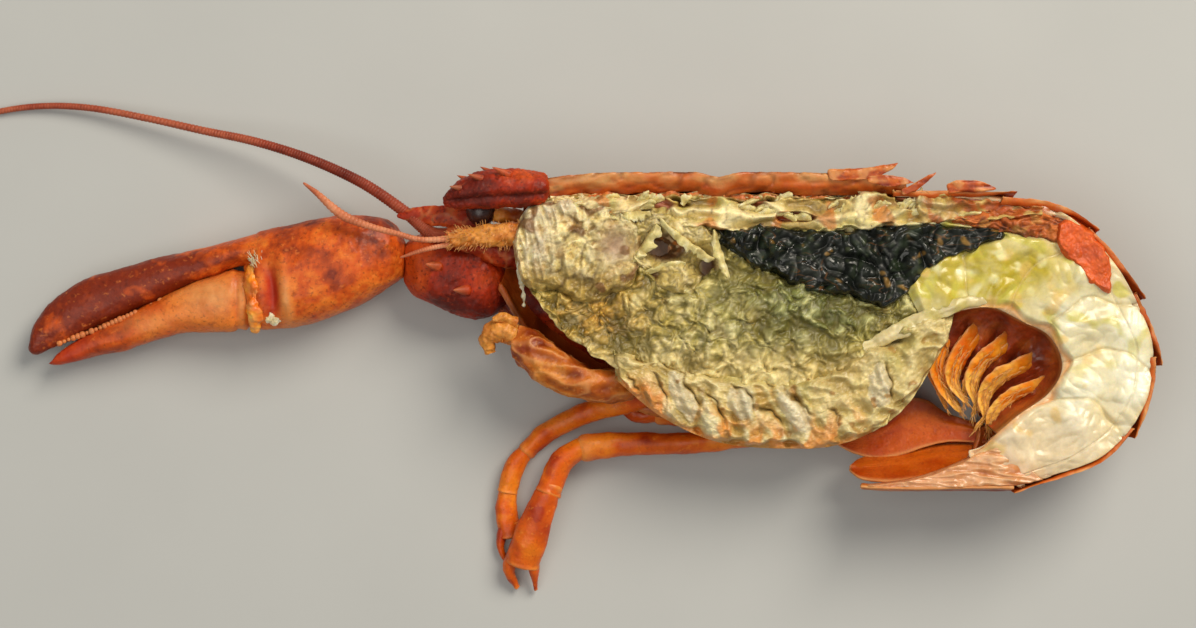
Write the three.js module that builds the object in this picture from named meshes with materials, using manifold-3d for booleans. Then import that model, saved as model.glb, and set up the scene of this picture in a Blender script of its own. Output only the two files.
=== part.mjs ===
// Half of a cooked American lobster, split along the midline and laid on its right side, cut face up.
// Millimetres. +X runs from the head to the tail, +Y from the belly to the back, +Z up from the table.
import * as THREE from "three";
import { LoftGeometry } from "three/addons/geometries/LoftGeometry.js";
import { mergeVertices } from "three/addons/utils/BufferGeometryUtils.js";
import Module from "manifold-3d";

const wasm = await Module();
wasm.setup();

// Driving sizes. The carapace is 94 mm long from the eye socket to its rear edge.
const CUT = 28; // height of the cut face over the table, half the width of the body
const WALL = 1.2; // shell of the carapace
const TAIL_WALL = 1.0; // shell of the tail rings
const GAP = 0.3; // between parts that touch
const MIDPOINT = [-38.35, -8.4]; // middle of the whole animal's outline on the table
const TAIL_RINGS = 6;
const TAIL_OVERLAP = 0.022; // share of the tail's length that each ring slides under the one before

const { clamp, lerp, degToRad } = THREE.MathUtils;
const point = (x, y, z = 0) => new THREE.Vector3(x, y, z);
const curve = (rows) => new THREE.CatmullRomCurve3(rows.map((row) => point(...row)), false, "centripetal");
const steps = (count, make) => Array.from({ length: count + 1 }, (_, i) => make(i / count, i));
const onTable = (p, floor = 0) => p.setZ(Math.max(p.z, floor));

// Seeded random numbers from 0 to 1.
function random(seed) {
  let state = seed;
  return () => {
    state = (Math.imul(state, 1664525) + 1013904223) >>> 0;
    return state / 2 ** 32;
  };
}

// A closed geometry as a solid, turned to face outwards.
function solid(geometry) {
  const bare = new THREE.BufferGeometry().setAttribute("position", geometry.attributes.position);
  const merged = mergeVertices(bare.setIndex(geometry.index), 1e-4);
  const vertProperties = new Float32Array(merged.attributes.position.array);
  const corners = new Uint32Array(merged.index.array);
  const build = (triVerts) => new wasm.Manifold(new wasm.Mesh({ numProp: 3, vertProperties, triVerts }));
  const made = build(corners);
  return made.volume() < 0 ? build(corners.toReversed()) : made;
}

const fuse = (...solids) => solids.reduce((whole, next) => whole.add(next));

// The largest closed piece of a solid.
function largest(made) {
  return made.decompose().reduce((best, next) => (next.volume() > best.volume() ? next : best));
}

function geometryOf(made) {
  const { vertProperties, triVerts } = made.getMesh();
  return new THREE.BufferGeometry()
    .setAttribute("position", new THREE.BufferAttribute(new Float32Array(vertProperties), 3))
    .setIndex(new THREE.BufferAttribute(new Uint32Array(triVerts), 1));
}

// A solid grown by a distance along its own normals.
function swollen(made, by) {
  const geometry = geometryOf(made);
  geometry.computeVertexNormals();
  const { position, normal } = geometry.attributes;
  for (let i = 0; i < position.count; i++) {
    const n = point(normal.getX(i), normal.getY(i), normal.getZ(i));
    if (n.lengthSq() > 0.5) n.multiplyScalar(by);
    position.setXYZ(i, position.getX(i) + n.x, position.getY(i) + n.y, position.getZ(i) + n.z);
  }
  geometry.deleteAttribute("normal");
  return solid(geometry);
}

// A solid through a row of rings. Each ring is turned to run anticlockwise seen from the far end.
function loft(rings) {
  const centre = (ring) => ring.reduce((sum, p) => sum.add(p), point(0, 0)).divideScalar(ring.length);
  const first = rings[0];
  const facing = first.reduce((sum, p, i) => sum.add(p.clone().cross(first.at(i - 1))), point(0, 0));
  const backwards = facing.dot(centre(rings[1]).sub(centre(first))) > 0;
  const ordered = backwards ? rings.map((ring) => ring.toReversed()) : rings;
  return solid(new LoftGeometry(ordered, { capStart: true, capEnd: true }));
}

// A tapered limb along stations of [x, y, z, width across, height].
function limb(stations, { rings = 8, sides = 7 } = {}) {
  const path = curve(stations.map(([x, y, z]) => [x, y, z]));
  const size = curve(stations.map(([, , , width, height]) => [width / 2, height / 2]));
  return loft(
    steps(rings, (t) => {
      const centre = path.getPoint(t);
      const along = path.getTangent(t);
      const across = point(-along.y, along.x).normalize();
      const up = along.clone().cross(across).multiplyScalar(-1).normalize();
      if (up.z < 0) up.negate();
      const { x: half, y: high } = size.getPoint(t);
      return steps(sides - 1, (_, i) => {
        const a = (i / sides) * 2 * Math.PI;
        return onTable(
          centre
            .clone()
            .addScaledVector(across, half * Math.cos(a))
            .addScaledVector(up, high * Math.sin(a)),
        );
      });
    }),
  );
}

// A solid between two edges seen from above. Its stations are
// [upper x, upper y, lower x, lower y, low z, high z].
function slab(stations, { rings = 9, sides = 10, boxy = 0.8 } = {}) {
  const upper = curve(stations.map(([x, y]) => [x, y]));
  const lower = curve(stations.map(([, , x, y]) => [x, y]));
  const heights = curve(stations.map(([, , , , low, high]) => [low, high]));
  const power = (value) => Math.sign(value) * Math.abs(value) ** boxy;
  return loft(
    steps(rings, (t) => {
      const a = upper.getPoint(t);
      const b = lower.getPoint(t);
      const { x: low, y: high } = heights.getPoint(t);
      return steps(sides - 1, (_, i) => {
        const angle = (i / sides) * 2 * Math.PI;
        const p = b.clone().lerp(a, 0.5 + 0.5 * power(Math.cos(angle)));
        return onTable(p.setZ(lerp(low, high, 0.5 + 0.5 * power(Math.sin(angle)))));
      });
    }),
  );
}

// A thin closed plate with its middle surface at(u, v), u along and v across.
function plate(at, thickness, { along = 9, across = 4 } = {}) {
  const face = (side) => (u, v) => {
    const p = at(u, v);
    const du = at(Math.min(u + 0.01, 1), v).sub(at(Math.max(u - 0.01, 0), v));
    const dv = at(u, Math.min(v + 0.01, 1)).sub(at(u, Math.max(v - 0.01, 0)));
    return p.addScaledVector(du.cross(dv).normalize(), (side * thickness) / 2);
  };
  return loft(
    steps(along, (u) => [
      ...steps(across, (v) => face(1)(u, v)),
      ...steps(across, (v) => face(-1)(u, 1 - v)),
    ]),
  );
}

// A pointed spine with its root sunk in the surface.
function spine(from, to, radius, sides = 5) {
  const start = point(...from);
  const lean = point(...to).sub(start);
  const cone = new THREE.ConeGeometry(radius, lean.length(), sides);
  cone.translate(0, lean.length() / 2, 0);
  cone.applyQuaternion(new THREE.Quaternion().setFromUnitVectors(point(0, 1, 0), lean.clone().normalize()));
  cone.translate(start.x, start.y, start.z);
  return solid(cone);
}

function ball(x, y, z, radius, detail = 1, squash = 1) {
  const shape = new THREE.IcosahedronGeometry(radius, detail);
  shape.scale(1, 1, squash);
  shape.translate(x, y, z);
  return solid(shape);
}

// A straight-sided block over a smooth closed outline, from a height upwards.
function prism(outline, bottom, corners = 17) {
  const ring = new THREE.CatmullRomCurve3(outline.map(([x, y]) => point(x, y)), true, "centripetal");
  const points = ring.getPoints(corners).slice(0, -1);
  const shape = new THREE.Shape(points.map(({ x, y }) => new THREE.Vector2(x, y)));
  const block = new THREE.ExtrudeGeometry(shape, { depth: 2 * CUT, bevelEnabled: false });
  block.translate(0, 0, bottom);
  return solid(block);
}

// Where a half ring of the body lies. Its angle is 90 at the cut edge of the back, 0 at the flank on the
// table and negative towards the belly, where it ends at the angle last.
function onHalfRing(back, belly, depth, angle, last, inset = 0, floor = 0) {
  const flank = belly.clone().lerp(back, 0.5);
  const towards = angle >= 0 ? back : belly;
  const reach = towards.distanceTo(flank);
  const share = angle >= 0 ? Math.sin(angle) : Math.sin(-angle) / Math.sin(-last);
  const p = flank.lerp(towards, share * (1 - inset / reach));
  return onTable(p.setZ(CUT - (depth - inset) * Math.cos(angle)), floor);
}

// Carapace: [back edge x, y, lower margin x, y, depth below the cut face], from the eye to the rear edge.
const CARAPACE = [
  [-17, 33.5, -25, 6, 15],
  [-4, 35, -14, -11, 21],
  [14, 35.6, 6, -23, 26.5],
  [34, 35.6, 30, -29, 28.4],
  [54, 35.4, 54, -31, 28.6],
  [69, 35, 72, -28.5, 28.6],
  [77, 34, 82.5, -13, 27.5],
];
const MARGIN_ANGLE = degToRad(-50);
// The groove that runs down the side from the middle of the back towards the mouth.
const NECK_GROOVE = { at: 0.47, lean: 0.17, width: 0.035, depth: 1.4 };

function rails(stations) {
  return {
    back: curve(stations.map(([x, y]) => [x, y])),
    belly: curve(stations.map(([, , x, y]) => [x, y])),
    depth: curve(stations.map(([, , , , depth]) => [depth, 0])),
  };
}

function carapace() {
  const { back, belly, depth } = rails(CARAPACE);
  const wall = (t, inset) =>
    steps(12, (v) => {
      const angle = lerp(Math.PI / 2, MARGIN_ANGLE, v);
      const line = NECK_GROOVE.at - NECK_GROOVE.lean * v * v;
      const dip = NECK_GROOVE.depth * Math.exp(-(((t - line) / NECK_GROOVE.width) ** 2));
      const deep = depth.getPoint(t).x;
      return onHalfRing(back.getPoint(t), belly.getPoint(t), deep, angle, MARGIN_ANGLE, inset + dip, inset);
    });
  return loft(steps(19, (t) => [...wall(t, 0), ...wall(t, WALL).reverse()]));
}

// Bumps and hollows of the cut face: [x, y, radius x, radius y, height].
const RELIEF = [
  [-6, 17, 12, 11, 2.4],
  [9, 22, 5, 4, 1.5],
  [14, 17, 4, 4, -5],
  [26, 12, 3.5, 4, -4],
  [20, 20, 5, 3, 1.5],
  [58, 13, 26, 8, -1.6],
  [30, -2, 16, 9, 1.6],
  [2, -2, 9, 6, -1],
  [50, -8, 16, 7, 1],
  [72, -7, 5, 1.6, -3.5],
  [40, 27, 40, 3, -1.2],
  [118, 2, 14, 12, 1.6],
  [124, -26, 10, 10, 1.2],
];

// Height of the soft cut face: small lumps all over, and the bumps and hollows above.
function cutHeight(x, y) {
  const waves = Math.sin(x * 0.9 + 1.3 * Math.sin(y * 0.7));
  const lumps = 0.5 * waves * Math.cos(y * 0.85 + 0.6 * Math.sin(x * 0.5));
  return RELIEF.reduce(
    (z, [cx, cy, rx, ry, high]) => z + high * Math.exp(-(((x - cx) / rx) ** 2) - ((y - cy) / ry) ** 2),
    CUT - 1 + lumps,
  );
}

// A solid half of the body: flat and lumpy on the cut face, round below.
function halfBody(stations, from, to, { rings, across, around }) {
  const { back, belly, depth } = rails(stations);
  const end = -Math.PI / 2;
  return loft(
    steps(rings, (s) => {
      const t = lerp(from, to, s);
      const [a, b, d] = [back.getPoint(t), belly.getPoint(t), depth.getPoint(t).x];
      const round = steps(around, (v) => onHalfRing(a, b, d, lerp(Math.PI / 2, end, v), end));
      const top = steps(across, (v) => round[around].clone().lerp(round[0], v)).slice(1, -1);
      return [...round, ...top].map((p, i) => {
        const edge = i === 0 || i >= around;
        return edge ? p.setZ(cutHeight(p.x, p.y)) : p;
      });
    }),
  );
}

// Soft parts of the chest: [back x, y, belly x, y, depth].
const CHEST = [
  [-15, 30, -17, 5, 12],
  [-4, 31.5, -7, -6, 19],
  [12, 31.8, 6, -14, 24.8],
  [32, 31.8, 24, -27, 26.6],
  [53, 31.6, 50, -31, 26.8],
  [68, 31, 72, -27, 26.8],
  [76, 30, 82, -11, 25.8],
];

// Soft parts of the tail, round the curl.
const TAIL_FLESH = [
  [75.5, 29.5, 83, -3, 24.5],
  [97, 28.6, 91.5, 1, 25.5],
  [114.5, 24.8, 99, 1.5, 25.5],
  [125.3, 15.6, 106.5, -2, 25.5],
  [133.6, 2.5, 113, -5.5, 25.5],
  [137.7, -10, 116.3, -13, 25],
  [134.6, -24, 113, -19.7, 24],
  [125.5, -34.6, 105, -25.5, 22],
  [104, -42.4, 93, -36, 16],
];

const chest = () => halfBody(CHEST, 0, 1, { rings: 16, across: 8, around: 6 });
const tailFlesh = (from, to, rings) => halfBody(TAIL_FLESH, from, to, { rings, across: 5, around: 5 });
const MEAT_STARTS = [0, 0.3, 0.55, 0.78]; // shares of the tail's length at which its lengths of meat begin

// Outlines of the organs on the cut face.
const STOMACH = [
  [-20, 27], [-9, 29.2], [2, 28.4], [9.5, 25], [12, 18], [9.5, 10], [2, 5], [-6, 3], [-14, 7], [-20, 18],
];
const GASTRIC_MILL = [[10, 24.5], [20, 24.8], [27, 22], [30, 15], [25, 7], [17, 6], [11, 9], [12.5, 17]];
const DARK_ROE = [
  [30, 20.5], [40, 21.4], [55, 19.6], [68, 20.8], [86, 22.5], [90, 20.5], [86.7, 14.7],
  [81.7, 9.7], [76.7, 4], [72, 2.2], [59, 5.5], [44, 9], [36.7, 13],
];
const BACK_TISSUE = [
  [-12, 31], [0, 30.4], [20, 33], [60, 33], [80, 32], [97, 27], [97, 24], [84, 24.6],
  [68, 22.6], [50, 22.4], [30, 22.8], [12, 26], [0, 29.4],
];
const LEG_MUSCLE = [
  [8, -10], [20, -13], [36, -17], [52, -17], [64, -13], [75, -5], [90, 2], [90, -14],
  [80, -24], [70, -32], [55, -36], [36, -36], [18, -32], [6, -20],
];
const CORAL = [
  [88, 24.3], [104, 23.2], [114, 23.6], [122, 24.4], [127, 19], [129.4, 12], [129, 5],
  [124.5, 6.7], [118.5, 12], [112, 17], [100, 19.2], [89, 19.6],
];

const ORGAN_BOTTOM = 12; // height down to which the organs reach

// An organ set into the top of a body. Later parts are cut clear of the whole block over its outline.
function organ(name, outline, body, material) {
  const block = prism(outline, ORGAN_BOTTOM);
  return [name, block.intersect(body), material, swollen(block, GAP)];
}

// Tail rings: [back edge x, y, tips of the side flaps x, y, depth].
const TAIL_SHELL = [
  [73.5, 31.2, 82, -9, 25.4],
  [97, 30, 92, -6, 26.4],
  [116, 26.8, 99, -6.5, 26.5],
  [127.4, 17, 104, -9, 26.5],
  [135.8, 3.4, 107, -12.5, 26.5],
  [139.8, -10, 107.5, -16.5, 26.2],
  [136.8, -24.4, 105, -21, 25.4],
  [127, -36.3, 99, -27, 23],
  [103, -44, 90, -35, 18],
];
const RING_BOUNDS = [0, 0.15, 0.32, 0.48, 0.63, 0.79, 1];
const FLAP_ANGLE = degToRad(-34);
const FLAP_START = 0.72; // share of a ring's girth at which its side flap begins to narrow
const FLAP_CUT = 0.34; // how much shorter the flap is beside its point
const FLAP_POINT = 0.55; // share of the ring's length at which the flap's point lies
const FLARE = 1.9; // how far a ring's rear edge stands over the next ring

// One ring of the tail: its rear edge spreads over the next, and its side flap ends in a point.
function tailRing(index) {
  const { back, belly, depth } = rails(TAIL_SHELL);
  const start = RING_BOUNDS[index];
  const end = RING_BOUNDS[index + 1] + (index < TAIL_RINGS - 1 ? TAIL_OVERLAP : 0);
  const wall = (s, inset) => {
    const t = lerp(start, end, s);
    const lift = FLARE * s * s;
    return steps(9, (v) => {
      const angle = lerp(Math.PI / 2, FLAP_ANGLE, v);
      const from = back.getPoint(t);
      const narrowing = clamp((v - FLAP_START) / (1 - FLAP_START), 0, 1);
      const lobe = 1 - FLAP_CUT * narrowing * Math.abs(2 * (s - FLAP_POINT));
      const tip = from.clone().lerp(belly.getPoint(t), lobe);
      return onHalfRing(from, tip, depth.getPoint(t).x, angle, FLAP_ANGLE, inset - lift, inset);
    });
  };
  return loft(steps(5, (s) => [...wall(s, 0), ...wall(s, TAIL_WALL).reverse()]));
}

// Cheliped, from the hand back to the body.
const PALM = [
  [-48.4, 17.6, -48.8, 10, 5, 14],
  [-52.5, 23.4, -52.5, 7, 2, 18],
  [-60, 25.3, -60, 2.6, 0, 20.5],
  [-70, 24.5, -70, -1.6, -0.3, 21],
  [-80, 22.6, -80, -3.8, -0.3, 20],
  [-86.5, 21, -86.5, -3.9, 1, 17.5],
  [-88.5, 19.5, -88.2, -1.5, 4, 14],
];
const FIXED_FINGER = [
  [-82, 22, -82, 8, 0, 17],
  [-90, 19.9, -90, 12.4, 0.5, 15.5],
  [-100, 17.4, -100, 9.2, 1, 13.5],
  [-112, 14.6, -112, 4.8, 1.3, 12],
  [-122, 12, -122, 0.2, 1.5, 11.5],
  [-132, 8.6, -132, -4.4, 1.8, 10.5],
  [-140, 3.4, -140, -8.4, 2.4, 9.4],
  [-144.6, -3, -144, -9.8, 3.4, 8.4],
  [-146, -8, -145.6, -9.8, 5, 7],
];
const MOVING_FINGER = [
  [-88.8, 9.6, -88.6, -3.4, 4, 14],
  [-92, 11.2, -92, -4.6, 2.4, 15.6],
  [-98, 9.4, -98, -4.7, 2, 15],
  [-106, 6.2, -106, -5.1, 1.8, 13.6],
  [-113, 2.8, -113, -6.8, 1.8, 12.4],
  [-121, -1.2, -121, -9.3, 2, 11.2],
  [-130, -5.2, -130, -11.3, 2.5, 9.8],
  [-137, -9.4, -137, -12.9, 3.2, 8.4],
  [-140.3, -12.4, -140.3, -13.2, 4.6, 7],
];
const CARPUS = [
  [-49.6, 17.5, -49.8, 8.4, 5, 14],
  [-46, 20.4, -45.4, 3.6, 2.6, 18],
  [-38, 21.6, -38, 0.6, 0.4, 20],
  [-30.5, 20, -31.5, -1.4, 0, 19.5],
  [-24, 14, -26, 0, 1.6, 17],
  [-20.5, 9, -21.5, 4, 5, 12],
];
const MERUS = [
  [-24.5, 7.4, 8.6, 9, 10],
  [-18, 4.4, 7.2, 12.5, 13.6],
  [-8, -1.6, 6.4, 12, 12.4],
  [0, -7.5, 6, 10, 10.4],
  [4, -11, 6.6, 7.6, 8.6],
];
const ISCHIUM = [
  [3.4, -10.4, 6.8, 7.2, 8],
  [9, -14.4, 8, 8.4, 8.6],
  [14, -17.5, 12, 7.6, 9],
  [18, -19, 17, 6.4, 7.6],
];

// Blunt teeth along the edge where the two fingers close.
function teeth(line, count, radius, seed) {
  const next = random(seed);
  const path = curve(line);
  return steps(count - 1, (t) => {
    const p = path.getPoint(t);
    return ball(p.x, p.y, p.z, radius * lerp(0.7, 1.2, next()), 0);
  });
}

function palm() {
  return fuse(
    slab(PALM, { sides: 12 }),
    slab(FIXED_FINGER, { rings: 11, sides: 8, boxy: 0.9 }),
    ...teeth([[-96, 10.5, 8], [-110, 5.6, 7.5], [-124, -0.6, 7], [-138, -7.4, 6.5]], 9, 1, 3),
  );
}

function movingFinger() {
  return fuse(
    slab(MOVING_FINGER, { rings: 10, sides: 8, boxy: 0.9 }),
    ...teeth([[-97, 9.2, 9.5], [-106, 6, 9.5], [-120, -1, 9], [-136, -9, 7]], 8, 0.9, 5),
  );
}

function carpus() {
  return fuse(
    slab(CARPUS, { rings: 9, sides: 12 }),
    spine([-42, 19.6, 14], [-46.5, 23.2, 15], 1.8),
    spine([-34, 20.4, 15], [-38, 23.4, 16.4], 1.6),
    spine([-40, 12, 18.6], [-43.5, 12.6, 21.4], 1.6),
    spine([-33, 6, 18.4], [-36.5, 6, 21.4], 1.6),
  );
}

function merus() {
  return fuse(
    limb(MERUS, { rings: 7, sides: 8 }),
    spine([-20, 0, 7.5], [-29.5, 2.4, 9], 2),
  );
}

// Walking legs: thigh, shin and hand, each a row of [x, y, z, width, height].
const LEGS = {
  leg_2: {
    thigh: [
      [15, -19, 15, 6, 7],
      [8, -22.6, 9.5, 5.6, 6],
      [-2, -25, 5.6, 6, 5.6],
      [-13, -30.4, 3.6, 5.8, 5.4],
      [-18.4, -35.2, 3.2, 5, 5],
    ],
    shin: [[-18.2, -35, 3.2, 4.6, 4.6], [-21.6, -39.6, 3, 5.8, 5.2], [-23, -44.8, 2.6, 5.2, 4.6]],
    hand: [[-23, -44.6, 2.5, 4.8, 4.4], [-23.6, -50, 2.3, 6, 4.4], [-22.6, -56, 2.1, 6.4, 4]],
    fingers: [[[-24, -54, 2, 3.2, 3.4], [-25, -60, 1.8, 2.6, 2.6], [-23, -65, 1.2, 0.9, 1]],
      [[-21.4, -54, 2, 3.2, 3.4], [-20.6, -60, 1.8, 2.2, 2.4], [-21.6, -64.6, 1.2, 0.9, 1]]],
  },
  leg_3: {
    thigh: [
      [50, -27, 16, 6.4, 7],
      [46.5, -30.2, 11.5, 6, 6.4],
      [36, -31.8, 9, 5.4, 5.6],
      [24, -33, 8.2, 5.8, 6],
      [8, -33.2, 7.8, 6.6, 6.4],
      [-4, -34.2, 8, 7.4, 6.6],
    ],
    shin: [[-4, -34.2, 8, 5.6, 5.6], [-9, -37.4, 8.2, 6.6, 6.4], [-12.2, -44.6, 8.4, 7, 6]],
    hand: [
      [-12.2, -44.4, 8.4, 6, 5.6],
      [-14.6, -50, 8.4, 8, 5.8],
      [-17.6, -58, 6.6, 9.4, 5.8],
      [-19, -62.6, 5, 9, 5.4],
    ],
    fingers: [[[-21, -61, 4.8, 4.4, 4.6], [-22.8, -65.6, 3.6, 3.8, 3.8], [-20.8, -70.4, 1.6, 1.2, 1.4]],
      [[-17, -61, 4.8, 4.2, 4.6], [-16.4, -66, 3.6, 3.2, 3.6], [-16, -71, 1.4, 1, 1.2]]],
  },
  leg_4: {
    thigh: [
      [43, -26, 13, 5.6, 6],
      [42, -28.4, 8, 5, 5.2],
      [36, -28, 3.6, 5, 5],
      [26, -27, 2.6, 5, 5],
      [15, -26, 2.5, 4.6, 4.8],
    ],
    shin: [[15, -26, 2.5, 4, 4.2], [9.6, -25.6, 2.4, 4.6, 4.6], [6.6, -22.6, 2.3, 4, 4]],
    hand: [[6.8, -22.4, 2.3, 3.6, 3.6], [14, -20.8, 2.1, 4, 3.8], [25, -20.6, 1.9, 3, 3]],
    fingers: [[[24, -20.6, 1.9, 2.4, 2.4], [31, -20.6, 1.4, 1.6, 1.6], [36, -20, 0.8, 0.6, 0.8]]],
  },
  leg_5: {
    thigh: [
      [57, -26, 13, 5.6, 6],
      [59, -29.4, 8, 5, 5.2],
      [64, -31, 3.8, 5, 5],
      [74, -32.4, 2.6, 5, 5],
      [83, -33.4, 2.4, 4.6, 4.6],
    ],
    shin: [[83, -33.4, 2.4, 4, 4.2], [88, -33.8, 2.3, 4.4, 4.4], [92, -33.4, 2.2, 3.8, 3.8]],
    hand: [[91.8, -33.4, 2.1, 3.4, 3.6], [97, -31.8, 2, 3.8, 3.6], [104, -28.4, 1.8, 3, 2.8]],
    fingers: [[[103.6, -28.6, 1.7, 2.4, 2.4], [107.6, -25.6, 1.3, 1.6, 1.6], [109, -21.6, 0.8, 0.6, 0.8]]],
  },
};

// Feelers, eye and beak of the shell at the front of the head.
const ANTENNA = [
  [-38, 19.6, 18, 4.6, 4.4],
  [-42, 20.4, 18, 3.6, 3.4],
  [-48.8, 25.8, 17, 3.1, 3],
  [-58.5, 32.5, 15, 2.9, 2.8],
  [-67.7, 37.1, 13, 2.7, 2.6],
  [-77.6, 41, 10.6, 2.5, 2.4],
  [-89, 44.4, 8, 2.3, 2.2],
  [-100.4, 46.8, 6, 2.1, 2.1],
  [-115.6, 50.2, 4, 1.9, 1.9],
  [-131, 53, 2.6, 1.8, 1.8],
  [-142.5, 53.5, 1.7, 1.7, 1.7],
  [-153.8, 52.2, 1.1, 1.6, 1.6],
  [-172, 47, 0.7, 1.4, 1.4],
  [-190, 38.6, 0.55, 1.2, 1.2],
  [-206, 27, 0.45, 1, 1],
  [-218, 12, 0.4, 0.8, 0.8],
];
const ANTENNA_LENGTHS = [
  ["antenna_root", 0, 6],
  ["antenna_middle", 5.98, 11],
  ["antenna_tip", 10.98, 15],
];

// A length of the antenna between two stations of its table.
function antennaLength(first, last) {
  const shape = curve(ANTENNA.map(([x, y, z]) => [x, y, z]));
  const girth = curve(ANTENNA.map(([, , , width]) => [width, 0]));
  const count = ANTENNA.length - 1;
  const stations = steps(8, (s) => {
    const t = lerp(first, last, s) / count;
    const p = shape.getPoint(t);
    const width = girth.getPoint(t).x;
    return [p.x, p.y, p.z, width, width];
  });
  return limb(stations, { rings: 12, sides: 6 });
}

const OUTER_FEELER = [
  [-37, 18.9, 24.4, 1.7, 1.6],
  [-44.7, 18.7, 24.2, 1.5, 1.4],
  [-50.5, 20.2, 23.8, 1.5, 1.4],
  [-57.2, 22, 23.4, 1.7, 1.5],
  [-64.3, 24.9, 22.8, 2.4, 1.8],
  [-71, 30.6, 21.6, 1.5, 1.3],
  [-74.3, 33.1, 21, 0.6, 0.6],
];
const INNER_FEELER = [
  [-36, 17.8, 24, 1.4, 1.3],
  [-43.4, 16.2, 23.8, 1.2, 1.1],
  [-49.7, 14.2, 22.6, 0.6, 0.6],
];

function beak() {
  const body = limb(
    [
      [-12, 31.4, 25.6, 8, 7],
      [-19, 31.4, 26.6, 10, 9.6],
      [-26, 31.4, 27, 10.4, 9.6],
      [-33, 30, 27, 8.6, 8],
      [-37, 28.4, 26.6, 5, 5],
      [-38.8, 27.4, 26.4, 2, 2],
    ],
    { rings: 8, sides: 9 },
  );
  const spines = [
    [[-22, 34.6, 29.6], [-26.4, 36.6, 32]],
    [[-28, 33.4, 29.4], [-32.4, 34.8, 32]],
    [[-33, 31.2, 28.8], [-37, 31.8, 31]],
    [[-25, 34.6, 24.5], [-29.6, 37, 23.6]],
    [[-31, 33, 24.6], [-35.4, 34.8, 23.8]],
  ].map(([from, to]) => spine(from, to, 1.2, 4));
  return fuse(body, ...spines);
}

function maxilliped() {
  return slab(
    [
      [11, -14.6, 10, -21.6, 15, 21],
      [5, -13.8, 2, -22.4, 14.6, 24],
      [-2, -13.4, -8, -20.4, 15, 25.6],
      [-9.6, -8.6, -15.6, -17.2, 16, 26],
      [-16.4, -3.4, -21, -11.6, 17, 25.4],
      [-20.4, -2.6, -22.4, -8.6, 18.4, 24.4],
    ],
  );
}

function maxillipedTip() {
  return fuse(
    limb([
      [-20.6, -5.4, 21.6, 6, 5.6],
      [-24.4, -4, 22.4, 6.4, 6],
      [-27.6, -6.4, 21.8, 5, 5],
      [-27, -10, 20.6, 2.6, 3],
    ]),
    limb([
      [-20.4, -2.2, 23, 3, 3],
      [-24, -0.8, 24.6, 2.6, 2.6],
      [-26.6, -1.6, 25, 1.2, 1.4],
    ], { rings: 4, sides: 6 }),
  );
}

// Swimming legs inside the curl: centre lines of flat blades that stand on edge.
const SWIMMERETS = [
  [
    [91, 2.4, 19, 3, 7],
    [87.6, -5.3, 17.6, 2.2, 10],
    [85.8, -12.9, 15.6, 2, 10],
    [88, -19, 13.4, 1.8, 8],
    [91, -25, 12, 1, 4],
  ],
  [
    [100, 2.6, 19, 3, 7],
    [93.4, -6.6, 17.6, 2.4, 10],
    [90.4, -12.1, 16, 2.2, 10],
    [89.8, -16.6, 14.4, 1.8, 8],
    [92.6, -22.6, 13, 1, 4],
  ],
  [
    [108, -0.8, 19, 3, 7],
    [101.2, -8, 17.6, 2.4, 10],
    [97, -11.8, 16, 2.2, 10],
    [94.6, -17, 14.4, 1.8, 8],
    [95.2, -23.8, 13, 1, 4],
  ],
  [
    [115.6, -7.4, 19, 3, 7],
    [106.4, -13, 17.6, 2.4, 10],
    [101, -16, 16, 2.2, 9.6],
    [97.8, -20.6, 14.4, 1.8, 8],
    [97.4, -27, 13, 1, 4],
  ],
  [
    [118.6, -14.8, 19, 3, 6],
    [111, -17.6, 17.4, 2.4, 8],
    [104.4, -20.6, 16, 2.2, 8],
    [100, -25.2, 14.6, 1.8, 7],
    [97.8, -30.4, 13.4, 1, 4],
  ],
];

// Tail fan: leaves between two edges, each a row of [x, y, z].
const LEAF_SAG = 0.5; // how far the middle of a leaf lies below its edges

function leaf(upper, lower, thickness) {
  const [a, b] = [curve(upper), curve(lower)];
  const sag = (u, v) => LEAF_SAG * Math.sin(Math.PI * v) * Math.sin(Math.PI * Math.min(u * 1.1, 1));
  return plate((u, v) => a.getPoint(u).lerp(b.getPoint(u), v).add(point(0, 0, -sag(u, v))), thickness);
}

const outerFan = () =>
  leaf(
    [
      [99, -28.4, 8.4],
      [89.4, -25.4, 7.4],
      [84, -22, 6.6],
      [78.6, -21.6, 6.4],
      [74, -25, 6.4],
      [66, -28.2, 6.4],
      [59, -29.6, 6.6],
      [57.6, -30.2, 6.8],
    ],
    [
      [99.4, -33, 10],
      [89.6, -32.6, 9.4],
      [83.7, -33.9, 9.2],
      [77.1, -36, 9],
      [71, -36.9, 8.8],
      [65, -35.4, 8.2],
      [60, -32.6, 7.4],
      [57.8, -31.2, 7],
    ],
    1,
  );
const innerFan = () =>
  leaf(
    [
      [100, -34.6, 12],
      [89.6, -35.6, 11.6],
      [80, -36.4, 11],
      [72, -37.4, 10.8],
      [66.8, -38, 11.2],
      [64, -38.6, 12],
    ],
    [
      [100, -38.6, 17],
      [89, -40.2, 17.4],
      [79.4, -42, 17.6],
      [71.4, -42.4, 17],
      [66.4, -41.6, 15.6],
      [63.8, -39.8, 13.4],
    ],
    1,
  );
const telson = () =>
  leaf(
    [[104, -43.6, 15.6], [92, -43.8, 15], [80, -44, 14.6], [70, -43.8, 15.6], [66.4, -43.4, 18]],
    [[104, -43.4, 27.6], [92, -43.4, 27.8], [80, -43.6, 27.8], [70, -43.4, 27.8], [65.6, -43.2, 27]],
    1.8,
  );
const fanBase = () =>
  limb([[107, -36, 13, 7, 9], [103, -35.4, 12.6, 7, 9], [98.6, -34.4, 12, 5, 7]], { rings: 4 });

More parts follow.
